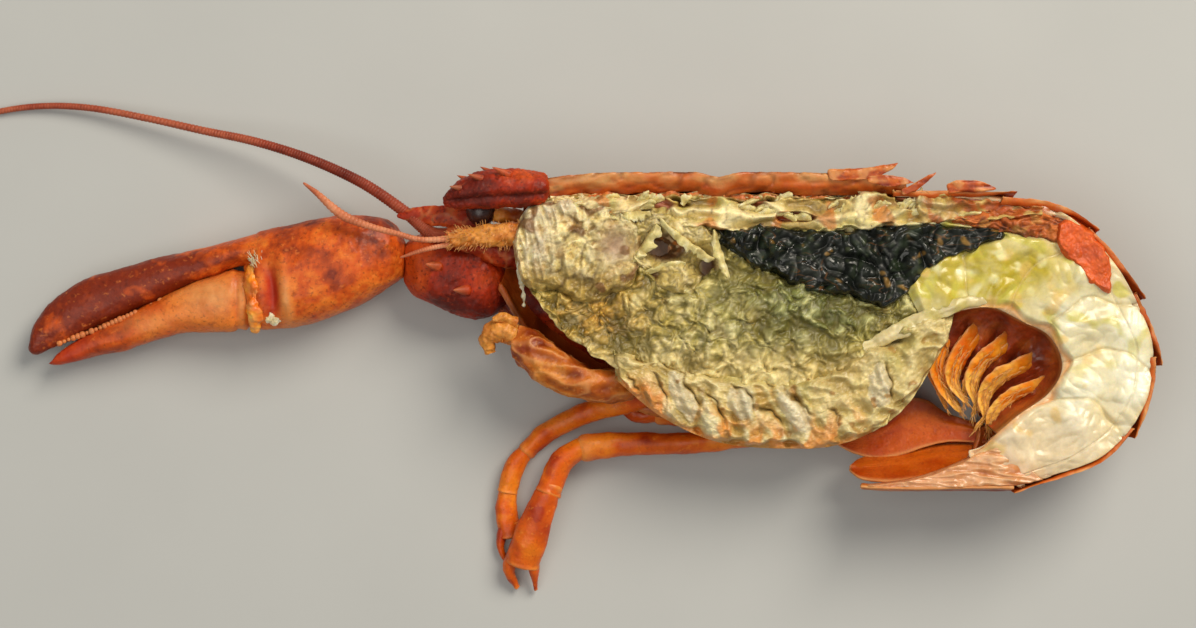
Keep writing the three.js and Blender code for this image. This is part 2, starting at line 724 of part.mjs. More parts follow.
// Surface finishes.
const finish = (color, roughness) => new THREE.MeshStandardMaterial({ color, roughness, metalness: 0 });
const FINISH = {
  shell: finish(0xb8401c, 0.4),
  darkShell: finish(0x7e2413, 0.45),
  orangeShell: finish(0xd0661e, 0.42),
  feeler: finish(0x9c3226, 0.5),
  meat: finish(0xe9e3c4, 0.4),
  tissue: finish(0xc9b878, 0.5),
  stomach: finish(0xb5a46a, 0.5),
  tomalley: finish(0x9a9a4c, 0.5),
  darkRoe: finish(0x161c18, 0.25),
  coral: finish(0xc8481c, 0.4),
  eye: finish(0x1c0c0e, 0.2),
};

// Every part in its order of right of way: a later part is cut clear of those before it.
function parts() {
  const body = chest();
  const tail = tailFlesh(0, 1, 18);
  const list = [
    ["carapace", carapace(), "shell"],
    ...steps(TAIL_RINGS - 1, (_, i) => [`tail_ring_${i + 1}`, tailRing(i), "shell"]),
    organ("dark_roe", DARK_ROE, fuse(body, tail), "darkRoe"),
    organ("coral_roe", CORAL, tail, "coral"),
    organ("stomach", STOMACH, body, "stomach"),
    organ("gastric_mill", GASTRIC_MILL, body, "tissue"),
    organ("back_tissue", BACK_TISSUE, fuse(body, tail), "tissue"),
    organ("leg_muscle", LEG_MUSCLE, body, "meat"),
    ["tomalley", body, "tomalley"],
    ...MEAT_STARTS.map((from, i) => [
      `tail_meat_${i + 1}`,
      tailFlesh(from, MEAT_STARTS[i + 1] ?? 1, 5),
      "meat",
    ]),
    ["rostrum", beak(), "darkShell"],
    ["eye", ball(-29.5, 26, 20.4, 3.8, 1), "eye"],
    ["eyestalk", limb([
      [-15, 23, 17, 5, 5],
      [-22, 24.6, 18.6, 4.6, 4.6],
      [-27.5, 25.6, 20, 4.4, 4.4],
    ], { rings: 5 }), "orangeShell"],
    ["antennule_base", limb([
      [-14, 20, 23, 6, 6],
      [-24, 20, 23.6, 6.4, 5.6],
      [-32, 19.2, 24, 5.4, 4.6],
      [-38, 18.6, 24.2, 3.6, 3],
    ]), "orangeShell"],
    ["antennule_outer", limb(OUTER_FEELER, { rings: 12, sides: 6 }), "feeler"],
    ["antennule_inner", limb(INNER_FEELER, { rings: 6, sides: 6 }), "feeler"],
    ["antenna_base", limb([
      [-16, 15, 16, 9, 9],
      [-25, 16.6, 17.4, 9, 8.4],
      [-33, 19, 18, 7.6, 7],
      [-39, 20, 18, 5.4, 5.4],
    ]), "darkShell"],
    ["antenna_scale", limb([
      [-27, 22.4, 18.6, 4.6, 3],
      [-37, 24.6, 18.6, 6, 2.2],
      [-45.6, 25, 18.2, 4.4, 1.8],
      [-51, 25, 18, 1.2, 1],
    ]), "darkShell"],
    ...ANTENNA_LENGTHS.map(([name, first, last]) => [name, antennaLength(first, last), "feeler"]),
    ["claw_carpus", carpus(), "darkShell"],
    ["claw_palm", palm(), "shell"],
    ["claw_moving_finger", movingFinger(), "shell"],
    ["claw_merus", merus(), "darkShell"],
    ["claw_ischium", limb(ISCHIUM), "shell"],
    ["maxilliped", maxilliped(), "orangeShell"],
    ["maxilliped_tip", maxillipedTip(), "orangeShell"],
    ...SWIMMERETS.map((rows, i) => [`swimmeret_${i + 1}`, limb(rows, { sides: 6 }), "orangeShell"]),
    ["telson", telson(), "shell"],
    ["uropod_base", fanBase(), "orangeShell"],
    ["uropod_inner", innerFan(), "orangeShell"],
    ["uropod_outer", outerFan(), "orangeShell"],
  ];
  for (const [name, { thigh, shin, hand, fingers }] of Object.entries(LEGS)) {
    const digits = fingers.map((rows) => limb(rows, { rings: 4, sides: 6 }));
    list.push([`${name}_thigh`, limb(thigh), "orangeShell"]);
    list.push([`${name}_shin`, limb(shin, { rings: 4 }), "orangeShell"]);
    list.push([`${name}_hand`, fuse(limb(hand, { rings: 5 }), ...digits), "orangeShell"]);
  }
  return list;
}

const touching = (a, b) =>
  [0, 1, 2].every((k) => a.min[k] < b.max[k] && b.min[k] < a.max[k]);

// Cuts each part clear of the earlier ones, so that neighbours meet face to face.
function fitted(list) {
  const placed = [];
  return list.map(([name, made, material, cutter]) => {
    const box = made.boundingBox();
    const near = placed.filter((other) => touching(other.boundingBox(), box));
    const kept = largest(near.reduce((rest, other) => rest.subtract(other), made));
    placed.push(cutter ?? kept.add(swollen(kept, GAP)));
    return [name, kept, material];
  });
}

const lobster = new THREE.Group();
for (const [name, made, material] of fitted(parts())) {
  const mesh = new THREE.Mesh(geometryOf(made), FINISH[material]);
  mesh.name = name;
  mesh.position.set(-MIDPOINT[0], -MIDPOINT[1], 0);
  lobster.add(mesh);
}

export default lobster;
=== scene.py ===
# Half of a cooked American lobster, split along the midline and laid on its right side, cut face up.
import math
import bpy
import numpy as np
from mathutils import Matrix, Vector


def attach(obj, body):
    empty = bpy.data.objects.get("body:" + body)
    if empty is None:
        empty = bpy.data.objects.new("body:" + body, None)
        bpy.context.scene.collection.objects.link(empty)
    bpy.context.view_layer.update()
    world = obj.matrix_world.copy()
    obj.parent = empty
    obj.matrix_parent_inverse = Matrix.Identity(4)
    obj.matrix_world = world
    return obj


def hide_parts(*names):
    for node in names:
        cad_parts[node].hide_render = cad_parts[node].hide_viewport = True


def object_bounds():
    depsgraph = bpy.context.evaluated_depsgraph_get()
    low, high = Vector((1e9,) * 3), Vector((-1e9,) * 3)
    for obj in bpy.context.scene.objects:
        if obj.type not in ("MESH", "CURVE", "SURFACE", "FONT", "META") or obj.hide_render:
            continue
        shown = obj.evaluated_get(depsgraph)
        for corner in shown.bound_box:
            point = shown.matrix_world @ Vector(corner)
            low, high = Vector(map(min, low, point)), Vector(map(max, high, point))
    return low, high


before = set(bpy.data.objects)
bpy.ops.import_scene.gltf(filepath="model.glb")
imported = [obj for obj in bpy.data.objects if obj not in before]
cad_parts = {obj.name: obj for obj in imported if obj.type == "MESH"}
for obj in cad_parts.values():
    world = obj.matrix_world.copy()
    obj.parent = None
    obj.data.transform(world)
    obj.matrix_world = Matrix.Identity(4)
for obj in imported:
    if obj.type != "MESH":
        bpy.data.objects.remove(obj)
cad_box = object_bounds()

# Lengths are millimetres and the origin is the middle of the photograph, until build() turns them into
# metres in the model's own frame.
MM = 0.001
CUT = 28.0  # height of the cut face over the table
WALL = 1.2  # shell of the carapace
TAIL_WALL = 1.0  # shell of the tail rings
MIDPOINT = np.array([-38.35, -8.4, 0.0])  # middle of the whole animal's outline
TAU = 2 * math.pi


# Curves
def spline(rows, shares):
    """Points at shares from 0 to 1 of a smooth curve through rows, with even time for each stretch."""
    rows = np.asarray(rows, float)
    spot = clamp(np.atleast_1d(shares)) * (len(rows) - 1)
    first = np.minimum(spot.astype(int), len(rows) - 2)
    w = (spot - first)[:, None]
    ends = np.vstack([2 * rows[0] - rows[1], rows, 2 * rows[-1] - rows[-2]])
    p0, p1, p2, p3 = (ends[first + k] for k in range(4))

    def stretch(a, b):
        return np.maximum(np.linalg.norm(b - a, axis=1, keepdims=True) ** 0.5, 1e-4)

    d0, d1, d2 = stretch(p0, p1), stretch(p1, p2), stretch(p2, p3)
    m1 = ((p1 - p0) / d0 - (p2 - p0) / (d0 + d1) + (p2 - p1) / d1) * d1
    m2 = ((p2 - p1) / d1 - (p3 - p1) / (d1 + d2) + (p3 - p2) / d2) * d1
    return p1 + m1 * w + (3 * (p2 - p1) - 2 * m1 - m2) * w**2 + (2 * (p1 - p2) + m1 + m2) * w**3


def shares(count):
    return np.linspace(0, 1, count + 1)


def clamp(x):
    return np.clip(x, 0, 1)


def smooth(x, low=0.0, high=1.0):
    """0 below low, 1 above high, and a smooth rise between."""
    s = clamp((np.asarray(x, float) - low) / (high - low))
    return s * s * (3 - 2 * s)


def bell(x):
    """1 at 0, falling off to 0 on both sides."""
    return np.exp(-(x**2))


def unit(vectors):
    return vectors / np.maximum(np.linalg.norm(vectors, axis=-1, keepdims=True), 1e-9)


def pack(*parts):
    """Points whose coordinates are the given columns."""
    return np.stack(parts, 1)


def hill(x, y, cx, cy, rx, ry):
    return np.exp(-(((x - cx) / rx) ** 2) - ((y - cy) / ry) ** 2)


# Fields of random numbers, the same in each run
CELLS = 4096
LATTICE = unit(np.random.default_rng(11).normal(size=(CELLS, 3)))
CHANCE = np.random.default_rng(5).random((CELLS, 3))
ASKEW = np.linalg.qr(np.random.default_rng(3).normal(size=(3, 3)))[0]  # turns the fields off the axes


def corner_key(i):
    return ((i[..., 0] * 73856093) ^ (i[..., 1] * 19349663) ^ (i[..., 2] * 83492791)) & (CELLS - 1)


def noise(points, size, seed=0):
    """A smooth field of about -1 to 1, with lumps of that size."""
    q = np.asarray(points) @ ASKEW / size + seed * 7.31
    base = np.floor(q).astype(np.int64)
    f = q - base
    u = f * f * f * (f * (f * 6 - 15) + 10)
    total = np.zeros(q.shape[:-1])
    for step in np.ndindex(2, 2, 2):
        slope = LATTICE[corner_key(base + step)]
        weight = np.prod(np.where(step, u, 1 - u), axis=-1)
        total += weight * np.sum(slope * (f - step), axis=-1)
    return total * 1.6


def spots(points, size, seed, low, high):
    """Patches of a size: 1 where the noise is above high, 0 where it is below low."""
    return smooth(noise(points, size, seed), low, high)


def rough(points, size, octaves=3, gain=0.5, seed=0):
    """Noise with finer and finer lumps on it."""
    return sum(gain**k * noise(points, size / 2**k, seed + k) for k in range(octaves))


def creases(points, size, seed=0):
    """Sharp ridges with round valleys, from 0 to 1."""
    return 1 - np.abs(noise(points, size, seed))


def curds(points, size, octaves=3, seed=0):
    """Soft round lumps: 0 in the sharp valleys between them and about 1 on the largest."""
    points = np.asarray(points)
    bend = np.stack([noise(points, size * 1.7, seed + 20 + k) for k in range(3)], -1)
    bent = points + 0.45 * size * bend
    return 1.15 * sum(0.5**k * np.abs(noise(bent, size / 2**k, seed + k)) for k in range(octaves))


def grains(points, size, seed=0):
    """Round grains: 1 at each one's middle, about 0 where they meet, and a random number for each."""
    q = np.asarray(points) / size + seed * 3.7
    base = np.floor(q).astype(np.int64) - 1
    near = np.full(q.shape[:-1], 9)
    second, luck = near, 0 * near
    for step in np.ndindex(3, 3, 3):
        key = corner_key(base + step)
        gap = np.linalg.norm(q - (base + step + CHANCE[key]), axis=-1)
        closer = gap < near
        second = np.where(closer, near, np.minimum(second, gap))
        luck = np.where(closer, CHANCE[(key * 7 + 13) & (CELLS - 1), 0], luck)
        near = np.where(closer, gap, near)
    return clamp(1 - near**2 / np.maximum(near * 0.5 + second * 0.5, 1e-6) ** 2), luck


# Meshes
class Shape:
    """Points, faces with three or four corners, and named numbers at the points."""

    def __init__(self, points, quads=(), tris=(), **marks):
        self.points = np.asarray(points, float).reshape(-1, 3)
        self.quads = np.asarray(quads, int).reshape(-1, 4)
        self.tris = np.asarray(tris, int).reshape(-1, 3)
        self.marks = {}
        self.mark(**marks)

    def __getitem__(self, name):
        return self.marks[name]

    def all_tris(self):
        return np.vstack([self.quads[:, [0, 1, 2]], self.quads[:, [0, 2, 3]], self.tris])

    def outward(self):
        """Turns the faces round where they look inwards."""
        a, b, c = (self.points[corner] for corner in self.all_tris().T)
        if np.sum(a * np.cross(b, c)) < 0:
            self.quads, self.tris = self.quads[:, ::-1], self.tris[:, ::-1]
        return self

    def normals(self):
        tris = self.all_tris()
        a, b, c = (self.points[corner] for corner in tris.T)
        face = np.cross(b - a, c - a)
        total = np.zeros_like(self.points)
        for corner in tris.T:
            np.add.at(total, corner, face)
        return unit(total)

    def push(self, amount):
        """Moves each point along its normal."""
        self.points = self.points + self.normals() * np.broadcast_to(amount, len(self.points))[:, None]
        return self

    def lift(self, amount):
        self.points = self.points + np.outer(np.broadcast_to(amount, len(self.points)), [0, 0, 1])
        return self

    def on_table(self):
        self.points[:, 2] = np.maximum(self.points[:, 2], 0)
        return self

    def mark(self, **marks):
        for name, value in marks.items():
            self.marks[name] = np.broadcast_to(value, len(self.points)).astype(float)
        return self

    def paint(self, base, *layers):
        """Colours the points with a base colour and, over it, layers of a share, red, green and blue."""
        colour = np.ones((len(self.points), 1)) * np.asarray(base, float)
        for share, *tint in layers:
            colour += (np.asarray(tint) - colour) * clamp(share)[:, None]
        return self.mark(red=colour[:, 0], green=colour[:, 1], blue=colour[:, 2])


def joined(*shapes):
    names = sorted({name for shape in shapes for name in shape.marks})
    start = np.cumsum([0] + [len(shape.points) for shape in shapes])

    def mark(name):
        return np.concatenate([shape.marks.get(name, np.zeros(len(shape.points))) for shape in shapes])

    return Shape(
        np.vstack([shape.points for shape in shapes]),
        np.vstack([shape.quads + at for shape, at in zip(shapes, start)]),
        np.vstack([shape.tris + at for shape, at in zip(shapes, start)]),
        **{name: mark(name) for name in names},
    )


def hoops(points):
    """The open side of a solid through a row of rings."""
    rows, columns = points.shape[:2]
    index = np.arange(rows * columns).reshape(rows, columns)
    index = np.hstack([index, index[:, :1]])
    quads = np.stack([index[:-1, :-1], index[1:, :-1], index[1:, 1:], index[:-1, 1:]], -1)
    return Shape(points, quads, along=np.repeat(np.linspace(0, 1, rows), columns))


def tube(points, **marks):
    """A closed solid through a row of rings."""
    rows, columns = points.shape[:2]
    side = hoops(points).mark(**marks)
    count = rows * columns
    wheel = np.arange(columns)
    turned = np.roll(wheel, -1)
    last = count - columns
    front = np.stack([np.full(columns, count), wheel, turned], -1)
    back = np.stack([np.full(columns, count + 1), last + turned, last + wheel], -1)
    middles = np.stack([points[0].mean(0), points[-1].mean(0)])
    kept = {name: np.append(value, value[[0, -1]]) for name, value in side.marks.items()}
    return Shape(np.vstack([side.points, middles]), side.quads, np.vstack([front, back]), **kept).outward()


def crescent(points, faces):
    """A closed wall through a row of C-shaped rings: an outer face, the inner one backwards, and a rim."""
    rows, columns = points.shape[:2]
    side = hoops(points)
    step = np.arange(faces - 1)
    strip = np.stack([step, step + 1, 2 * faces - 2 - step, 2 * faces - 1 - step], -1)
    edge = np.arange(2 * faces - 1, columns - 1)
    fan = np.stack([0 * edge, edge, edge + 1], -1)
    last = (rows - 1) * columns
    quads = np.vstack([side.quads, strip, strip[:, ::-1] + last])
    return Shape(side.points, quads, np.vstack([fan, fan[:, ::-1] + last]), **side.marks).outward()


def power(value, exponent):
    return np.sign(value) * np.abs(value) ** exponent


def rounded(t, head, foot):
    """1 along a limb, rounding off to 0 within a share head of its start and foot of its end."""

    def end(way, share):
        way = clamp(way / share) if share else np.ones_like(t)
        return np.sqrt(np.maximum(1 - (1 - way) ** 2, 0.002))

    return end(t, head) * end(1 - t, foot)


def turns(sides):
    """The angles of a ring's points."""
    return shares(sides)[:-1] * TAU


def limb(stations, rings=60, sides=24, head=0.03, foot=0.03, swell=None, turn=0.0):
    """A tapered limb along stations of x, y, z, width across, height, turned about its own line."""
    stations = np.asarray(stations, float)
    t = shares(rings)
    path = spline(stations[:, :3], t)
    size = spline(stations[:, 3:5] / 2, t) * rounded(t, head, foot)[:, None]
    if swell is not None:
        size = size * swell(t)[:, None]
    along = unit(np.gradient(path, axis=0))
    across = unit(pack(-along[:, 1], along[:, 0], np.zeros(len(t))))
    up = np.cross(along, across)
    up *= np.where(up[:, 2:] < 0, -1, 1)
    c, s = math.cos(turn), math.sin(turn)
    across, up = across * c + up * s, up * c - across * s
    angle = turns(sides)
    points = (
        path[:, None]
        + across[:, None] * (size[:, :1] * np.cos(angle))[..., None]
        + up[:, None] * (size[:, 1:] * np.sin(angle))[..., None]
    )
    return tube(points, around=np.tile(angle / TAU, len(t))).on_table()


def slab(stations, rings=80, sides=48, boxy=0.8, head=0.04, foot=0.04):
    """A solid between two edges: stations of upper x, y, lower x, y, low z, high z."""
    stations = np.asarray(stations, float)
    t = shares(rings)
    full = rounded(t, head, foot)[:, None]

    def shrunk(pair):
        """Both ends of a row of spans, drawn together where the slab rounds off."""
        middle = sum(pair) / 2
        return [middle + (end - middle) * full for end in pair]

    upper, lower = shrunk([spline(stations[:, k : k + 2], t) for k in (0, 2)])
    heights = spline(stations[:, 4:6], t)
    bottom, top = shrunk([heights[:, :1], heights[:, 1:]])
    angle = turns(sides)
    side = 0.5 + 0.5 * power(np.cos(angle), boxy)
    high = 0.5 + 0.5 * power(np.sin(angle), boxy)
    flat = lower[:, None] + (upper - lower)[:, None] * side[None, :, None]
    level = bottom + (top - bottom) * high[None]
    points = np.concatenate([flat, level[..., None]], -1)
    return tube(points, around=np.tile(angle / TAU, len(t))).on_table()


def spine(start, tip, radius, sides=10):
    """A pointed spine."""
    lean = np.subtract(tip, start).astype(float)
    side = unit(np.cross(lean, [0.3, 0.2, 1.0]))
    other = unit(np.cross(lean, side))
    t = shares(8)
    width = (radius * (1 - t) ** 0.8 + 0.04)[:, None]
    angle = turns(sides)
    centre = start + np.outer(t, lean)
    round_it = side * (width * np.cos(angle))[..., None] + other * (width * np.sin(angle))[..., None]
    return tube(centre[:, None] + round_it, tip=np.repeat(0.35 * t, sides), tone=0.5)


def ball(centre, radius, squash=1.0, rings=24, sides=32):
    polar = shares(rings) * math.pi
    angle = turns(sides)
    ring = np.sin(np.clip(polar, 0.02, math.pi - 0.02))[:, None]
    points = [
        centre[0] + radius * ring * np.cos(angle),
        centre[1] + radius * ring * np.sin(angle),
        centre[2] + radius * squash * np.cos(polar)[:, None] * np.ones(sides),
    ]
    return tube(np.stack(points, -1))


def threads(lines, radius, sides=5):
    """Thin tapered threads, each along its own row of points."""
    made = []
    for line, thick in zip(lines, np.broadcast_to(radius, len(lines))):
        line = np.asarray(line, float)
        t = shares(len(line) - 1)
        width = 2 * thick * np.sqrt(np.sin(math.pi * (0.08 + 0.84 * t)))
        made.append(limb(np.column_stack([line, width, width]), len(line) * 2, sides, 0, 0))
    return joined(*made)


def build(name, shape, finish, *nodes):
    """Makes the Blender object of a shape, inside the CAD box, and lets it stand for its CAD nodes."""
    mesh = bpy.data.meshes.new(name)
    points = np.clip((shape.points - MIDPOINT) * MM, *cad_box)
    sizes = np.concatenate([np.full(len(shape.quads), 4), np.full(len(shape.tris), 3)])
    corners = np.concatenate([shape.quads.ravel(), shape.tris.ravel()])
    mesh.vertices.add(len(points))
    mesh.vertices.foreach_set("co", points.ravel())
    mesh.loops.add(len(corners))
    mesh.loops.foreach_set("vertex_index", corners)
    mesh.polygons.add(len(sizes))
    mesh.polygons.foreach_set("loop_start", np.concatenate([[0], np.cumsum(sizes)[:-1]]))
    mesh.update(calc_edges=True)
    mesh.validate()
    mesh.shade_smooth()
    if "red" in shape.marks:
        colour = pack(*(shape.marks.pop(part) for part in ("red", "green", "blue")), np.ones(len(points)))
        mesh.attributes.new("paint", "FLOAT_COLOR", "POINT").data.foreach_set("color", colour.ravel())
    for label, value in shape.marks.items():
        mesh.attributes.new(label, "FLOAT", "POINT").data.foreach_set("value", value)
    mesh.materials.append(FINISHES[finish])
    piece = bpy.data.objects.new(name, mesh)
    bpy.context.scene.collection.objects.link(piece)
    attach(piece, "root")
    if nodes:
        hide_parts(*nodes)


# Finishes
class Finish:
    """The node tree of one finish. Its fields are read in metres of the model's own frame."""

    def __init__(self, name, slot):
        self.material = bpy.data.materials.new(name)
        self.material["slot"] = slot
        self.material.use_nodes = True
        self.tree = self.material.node_tree
        self.place = self.add("ShaderNodeTexCoord").outputs["Object"]

    def add(self, kind, **sockets):
        node = self.tree.nodes.new(kind)
        for label, value in sockets.items():
            self.feed(node.inputs[label.replace("_", " ")], value)
        return node

    def feed(self, socket, value):
        if isinstance(value, bpy.types.NodeSocket):
            self.tree.links.new(value, socket)
        else:
            socket.default_value = value

    def value(self, name, kind="Fac"):
        """A named number or colour at the surface's points."""
        node = self.add("ShaderNodeAttribute")
        node.attribute_name = name
        return node.outputs[kind]

    def cloud(self, size, detail=3.0, rise=0.5):
        """Noise of 0 to 1 with lumps of a size in millimetres."""
        scale = 1 / (size * MM)
        node = self.add("ShaderNodeTexNoise", Vector=self.place, Scale=scale, Detail=detail, Roughness=rise)
        return node.outputs["Fac"]

    def cell(self, size):
        return self.add("ShaderNodeTexVoronoi", Vector=self.place, Scale=1 / (size * MM)).outputs["Distance"]

    def sum(self, kind, a, b):
        node = self.add("ShaderNodeMath")
        node.operation = kind
        self.feed(node.inputs[0], a)
        self.feed(node.inputs[1], b)
        return node.outputs[0]

    def spread(self, value, low, high, start=0.0, end=1.0):
        """Maps low..high to start..end and holds it there."""
        node = self.add("ShaderNodeMapRange", Value=value, From_Min=low, From_Max=high, To_Min=start, To_Max=end)
        return node.outputs["Result"]

    def ramp(self, value, colours):
        """Colours at even steps of 0 to 1."""
        node = self.add("ShaderNodeValToRGB", Fac=value)
        stops = node.color_ramp.elements
        while len(stops) < len(colours):
            stops.new(0.5)
        for k, colour in enumerate(colours):
            stops[k].position = k / (len(colours) - 1)
            stops[k].color = (*colour, 1)
        return node.outputs["Color"]

    def mix(self, share, a, b, blend="MIX"):
        node = self.add("ShaderNodeMix")
        node.data_type = "RGBA"
        node.blend_type = blend
        self.feed(node.inputs["Factor"], share)
        self.feed(node.inputs["A"], a)
        self.feed(node.inputs["B"], (*b, 1) if isinstance(b, tuple) else b)
        return node.outputs["Result"]

    def bump(self, height, strength, distance, below=None):
        """Bump of a height field, on top of another one."""
        node = self.add("ShaderNodeBump", Height=height, Strength=strength, Distance=distance * MM)
        if below is not None:
            self.feed(node.inputs["Normal"], below)
        return node.outputs["Normal"]

    def done(self, colour, roughness, normal, flesh=0.0, depth=1.0, coat=0.0, gloss=0.5, tint=(1, 0.4, 0.2)):
        inputs = self.tree.nodes["Principled BSDF"].inputs
        for label, value in {
            "Base Color": colour,
            "Roughness": roughness,
            "Normal": normal,
            "Specular IOR Level": gloss,
            "Subsurface Weight": flesh,
            "Subsurface Radius": tint,
            "Subsurface Scale": depth * MM,
            "Coat Weight": coat,
            "Coat Roughness": 0.3,
        }.items():
            self.feed(inputs[label], value)
        return self.material


CUT_SHELL = [(0.56, 0.17, 0.035), (0.82, 0.46, 0.18)]  # colours of the shell's cut edge
BARE_TIP = (0.62, 0.3, 0.13)


def shell_finish(name, slot, deep, main, bright, speck, roughness, coat, inner=None, reach=(0.3, 0.7)):
    """Cooked shell: cloudy reds, fine dark and pale specks, a pitted waxy surface, a pale cut edge and painted shade
    in its hollows.
    """
    f = Finish(name, slot)
    clouds = f.sum("ADD", f.cloud(14, 4), f.sum("MULTIPLY", f.sum("SUBTRACT", f.value("tone"), 0.5), 0.6))
    colour = f.ramp(f.spread(clouds, *reach), [deep, main, bright])
    for size, detail, rise, low, high, share, tint in (
        (0.9, 2, 0.5, 0.56, 0.72, speck, [c * 0.45 for c in deep]),
        (2.4, 3, 0.65, 0.5, 0.7, 0.47, [0.6 * a + 0.4 * b for a, b in zip(deep, main)]),
        (1.6, 2, 0.7, 0.6, 0.75, 0.35, [min(1, c * 1.35 + 0.03) for c in bright]),
    ):
        flecks = f.spread(f.cloud(size, detail, rise), low, high)
        colour = f.mix(f.sum("MULTIPLY", flecks, share), colour, tuple(tint))
    if inner is not None:
        colour = f.mix(f.value("inner"), colour, f.ramp(f.cloud(5, 4), inner))
    colour = f.mix(f.value("edge"), colour, f.ramp(f.cloud(3, 3), CUT_SHELL))
    colour = f.mix(f.value("tip"), colour, BARE_TIP)
    # depth: painted shade, darkening towards a very dark red in hollows, grooves and deep inside the shell
    colour = f.mix(f.sum("MULTIPLY", f.value("depth"), 0.7), colour, tuple(c * 0.3 for c in deep))
    normal = f.bump(f.cell(0.85), 0.45, 0.12)
    normal = f.bump(f.cloud(2.6, 4), 0.6, 0.3, normal)
    wax = f.spread(f.cloud(6, 3), 0.35, 0.65, *roughness)
    return f.done(colour, wax, normal, flesh=0.12, depth=1.2, coat=coat, gloss=0.26, tint=(1, 0.3, 0.1))


def flesh_finish(name, slot, roughness, bump=0.25, flesh=0.3, coat=0.2, grain=1.1, contrast=0.22):
    """Soft moist tissue: the painted colour, broken by fine lighter and darker patches and wet spots."""
    f = Finish(name, slot)
    broad = f.spread(f.cloud(grain * 4, 4, 0.6), 0.3, 0.7, 1 - contrast, 1 + contrast)
    fine = f.spread(f.cloud(grain, 3, 0.7), 0.3, 0.7, 1 - contrast * 0.6, 1 + contrast * 0.6)
    shade = f.sum("MULTIPLY", broad, fine)
    grey = f.add("ShaderNodeCombineColor", Red=shade, Green=shade, Blue=shade).outputs["Color"]
    colour = f.mix(1.0, f.value("paint", "Color"), grey, "MULTIPLY")
    normal = f.bump(f.cloud(grain, 4, 0.65), bump, 0.2)
    normal = f.bump(f.cloud(grain * 3.4, 3), bump, 0.4, normal)
    wet = f.spread(f.cloud(3, 3), 0.35, 0.65, *roughness)
    return f.done(colour, wet, normal, flesh=flesh, depth=1.5, coat=coat, tint=(1, 0.7, 0.4))


def eye_finish():
    f = Finish("eye_facets", "eye")
    colour = f.ramp(f.cloud(1.5, 2), [(0.012, 0.004, 0.005), (0.06, 0.016, 0.012)])
    wet = f.spread(f.cloud(0.8), 0.4, 0.6, 0.2, 0.35)
    return f.done(colour, wet, f.bump(f.cell(0.18), 0.4, 0.04), coat=0.2)


# Material, slot, dark, middle and bright red, share of specks, roughness from and to, coat, inner side
SHELLS = {
    "claw": ("claw_shell", "shell", (0.2, 0.02, 0.004), (0.62, 0.09, 0.006), (0.8, 0.2, 0.02), 0.5,
             (0.36, 0.55), 0.12, [(0.3, 0.012, 0.003), (0.55, 0.035, 0.008), (0.68, 0.06, 0.02)], (0.2, 0.8)),
    "shell": ("cooked_shell", "shell", (0.22, 0.022, 0.004), (0.5, 0.085, 0.009), (0.66, 0.19, 0.03), 0.5,
              (0.28, 0.5), 0.25, [(0.26, 0.022, 0.003), (0.58, 0.1, 0.008), (0.74, 0.23, 0.03)]),
    "dark_shell": ("dark_shell", "dark_shell", (0.13, 0.007, 0.001), (0.38, 0.024, 0.001), (0.56, 0.07, 0.005),
                   0.7, (0.4, 0.65), 0.05),
    "leg": ("leg_shell", "orange_shell", (0.4, 0.035, 0.002), (0.72, 0.115, 0.002), (0.86, 0.23, 0.01),
            0.25, (0.32, 0.5), 0.2),
    "fan": ("fan_shell", "orange_shell", (0.24, 0.02, 0.001), (0.42, 0.05, 0.001), (0.54, 0.1, 0.004),
            0.3, (0.4, 0.6), 0),
    "blade": ("swimming_leg_shell", "orange_shell", (0.8, 0.15, 0.005), (1.0, 0.32, 0.012), (1.0, 0.58, 0.1),
              0.1, (0.25, 0.45), 0.3),
    "mouth": ("mouth_leg_shell", "orange_shell", (0.26, 0.035, 0.003), (0.52, 0.13, 0.01), (0.74, 0.3, 0.05),
              0.3, (0.36, 0.55), 0.05),
    "feeler": ("feeler_shell", "feeler", (0.14, 0.014, 0.005), (0.3, 0.045, 0.018), (0.42, 0.1, 0.045),
               0.3, (0.35, 0.5), 0.1),
    "pale_feeler": ("pale_feeler_shell", "feeler", (0.4, 0.09, 0.035), (0.62, 0.2, 0.09), (0.74, 0.36, 0.2),
                    0.2, (0.35, 0.5), 0.1),
}
# Material, slot, roughness from and to, bump, share of scattered light, coat, grain in millimetres, contrast
TISSUES = {
    "tomalley": ("tomalley_curds", "tomalley", (0.36, 0.62), 0.3, 0.3, 0.08, 1.4),
    "stomach": ("stomach_wall", "stomach", (0.36, 0.6), 0.3, 0.3, 0.08),
    "tissue": ("back_tissue", "tissue", (0.34, 0.56), 0.3, 0.3, 0.12),
    "meat": ("white_meat", "meat", (0.2, 0.42), 0.15, 0.35, 0.4, 1.6, 0.1),
    "leg_meat": ("leg_muscle", "meat", (0.34, 0.55), 0.25, 0.3, 0.12, 1.4, 0.16),
    "roe": ("dark_roe", "dark_roe", (0.12, 0.62), 0.16, 0, 0, 1.6, 0.4),
    "coral": ("coral_roe", "coral", (0.45, 0.65), 0.25, 0.05, 0.02, 0.9, 0.18),
    "lining": ("curl_skin", "orange_shell", (0.3, 0.5), 0.4, 0.3, 0.25),
}
FINISHES = {name: shell_finish(*facts) for name, facts in SHELLS.items()}
FINISHES.update({name: flesh_finish(*facts) for name, facts in TISSUES.items()}, eye=eye_finish())


# Body shell: the carapace from the eye to the rear edge, as back edge x, y, lower margin x, y, depth
CARAPACE = [
    (-17, 33.5, -25, 6, 15), (-4, 35, -14, -11, 21), (14, 35.6, 6, -23, 26.5), (34, 35.6, 30, -29, 28.4),
    (54, 35.4, 54, -31, 28.6), (69, 35, 72, -28.5, 28.6), (77, 34, 82.5, -13, 27.5),
]
MARGIN_ANGLE = math.radians(-50)
NECK_GROOVE = {"at": 0.47, "lean": 0.17, "width": 0.03, "depth": 1.4}
NEAR_CUT = 14  # what marks the cut edge fades out over a fourteenth of the way round the shell
AT_CUT = 40  # and what tears the very edge over a fortieth


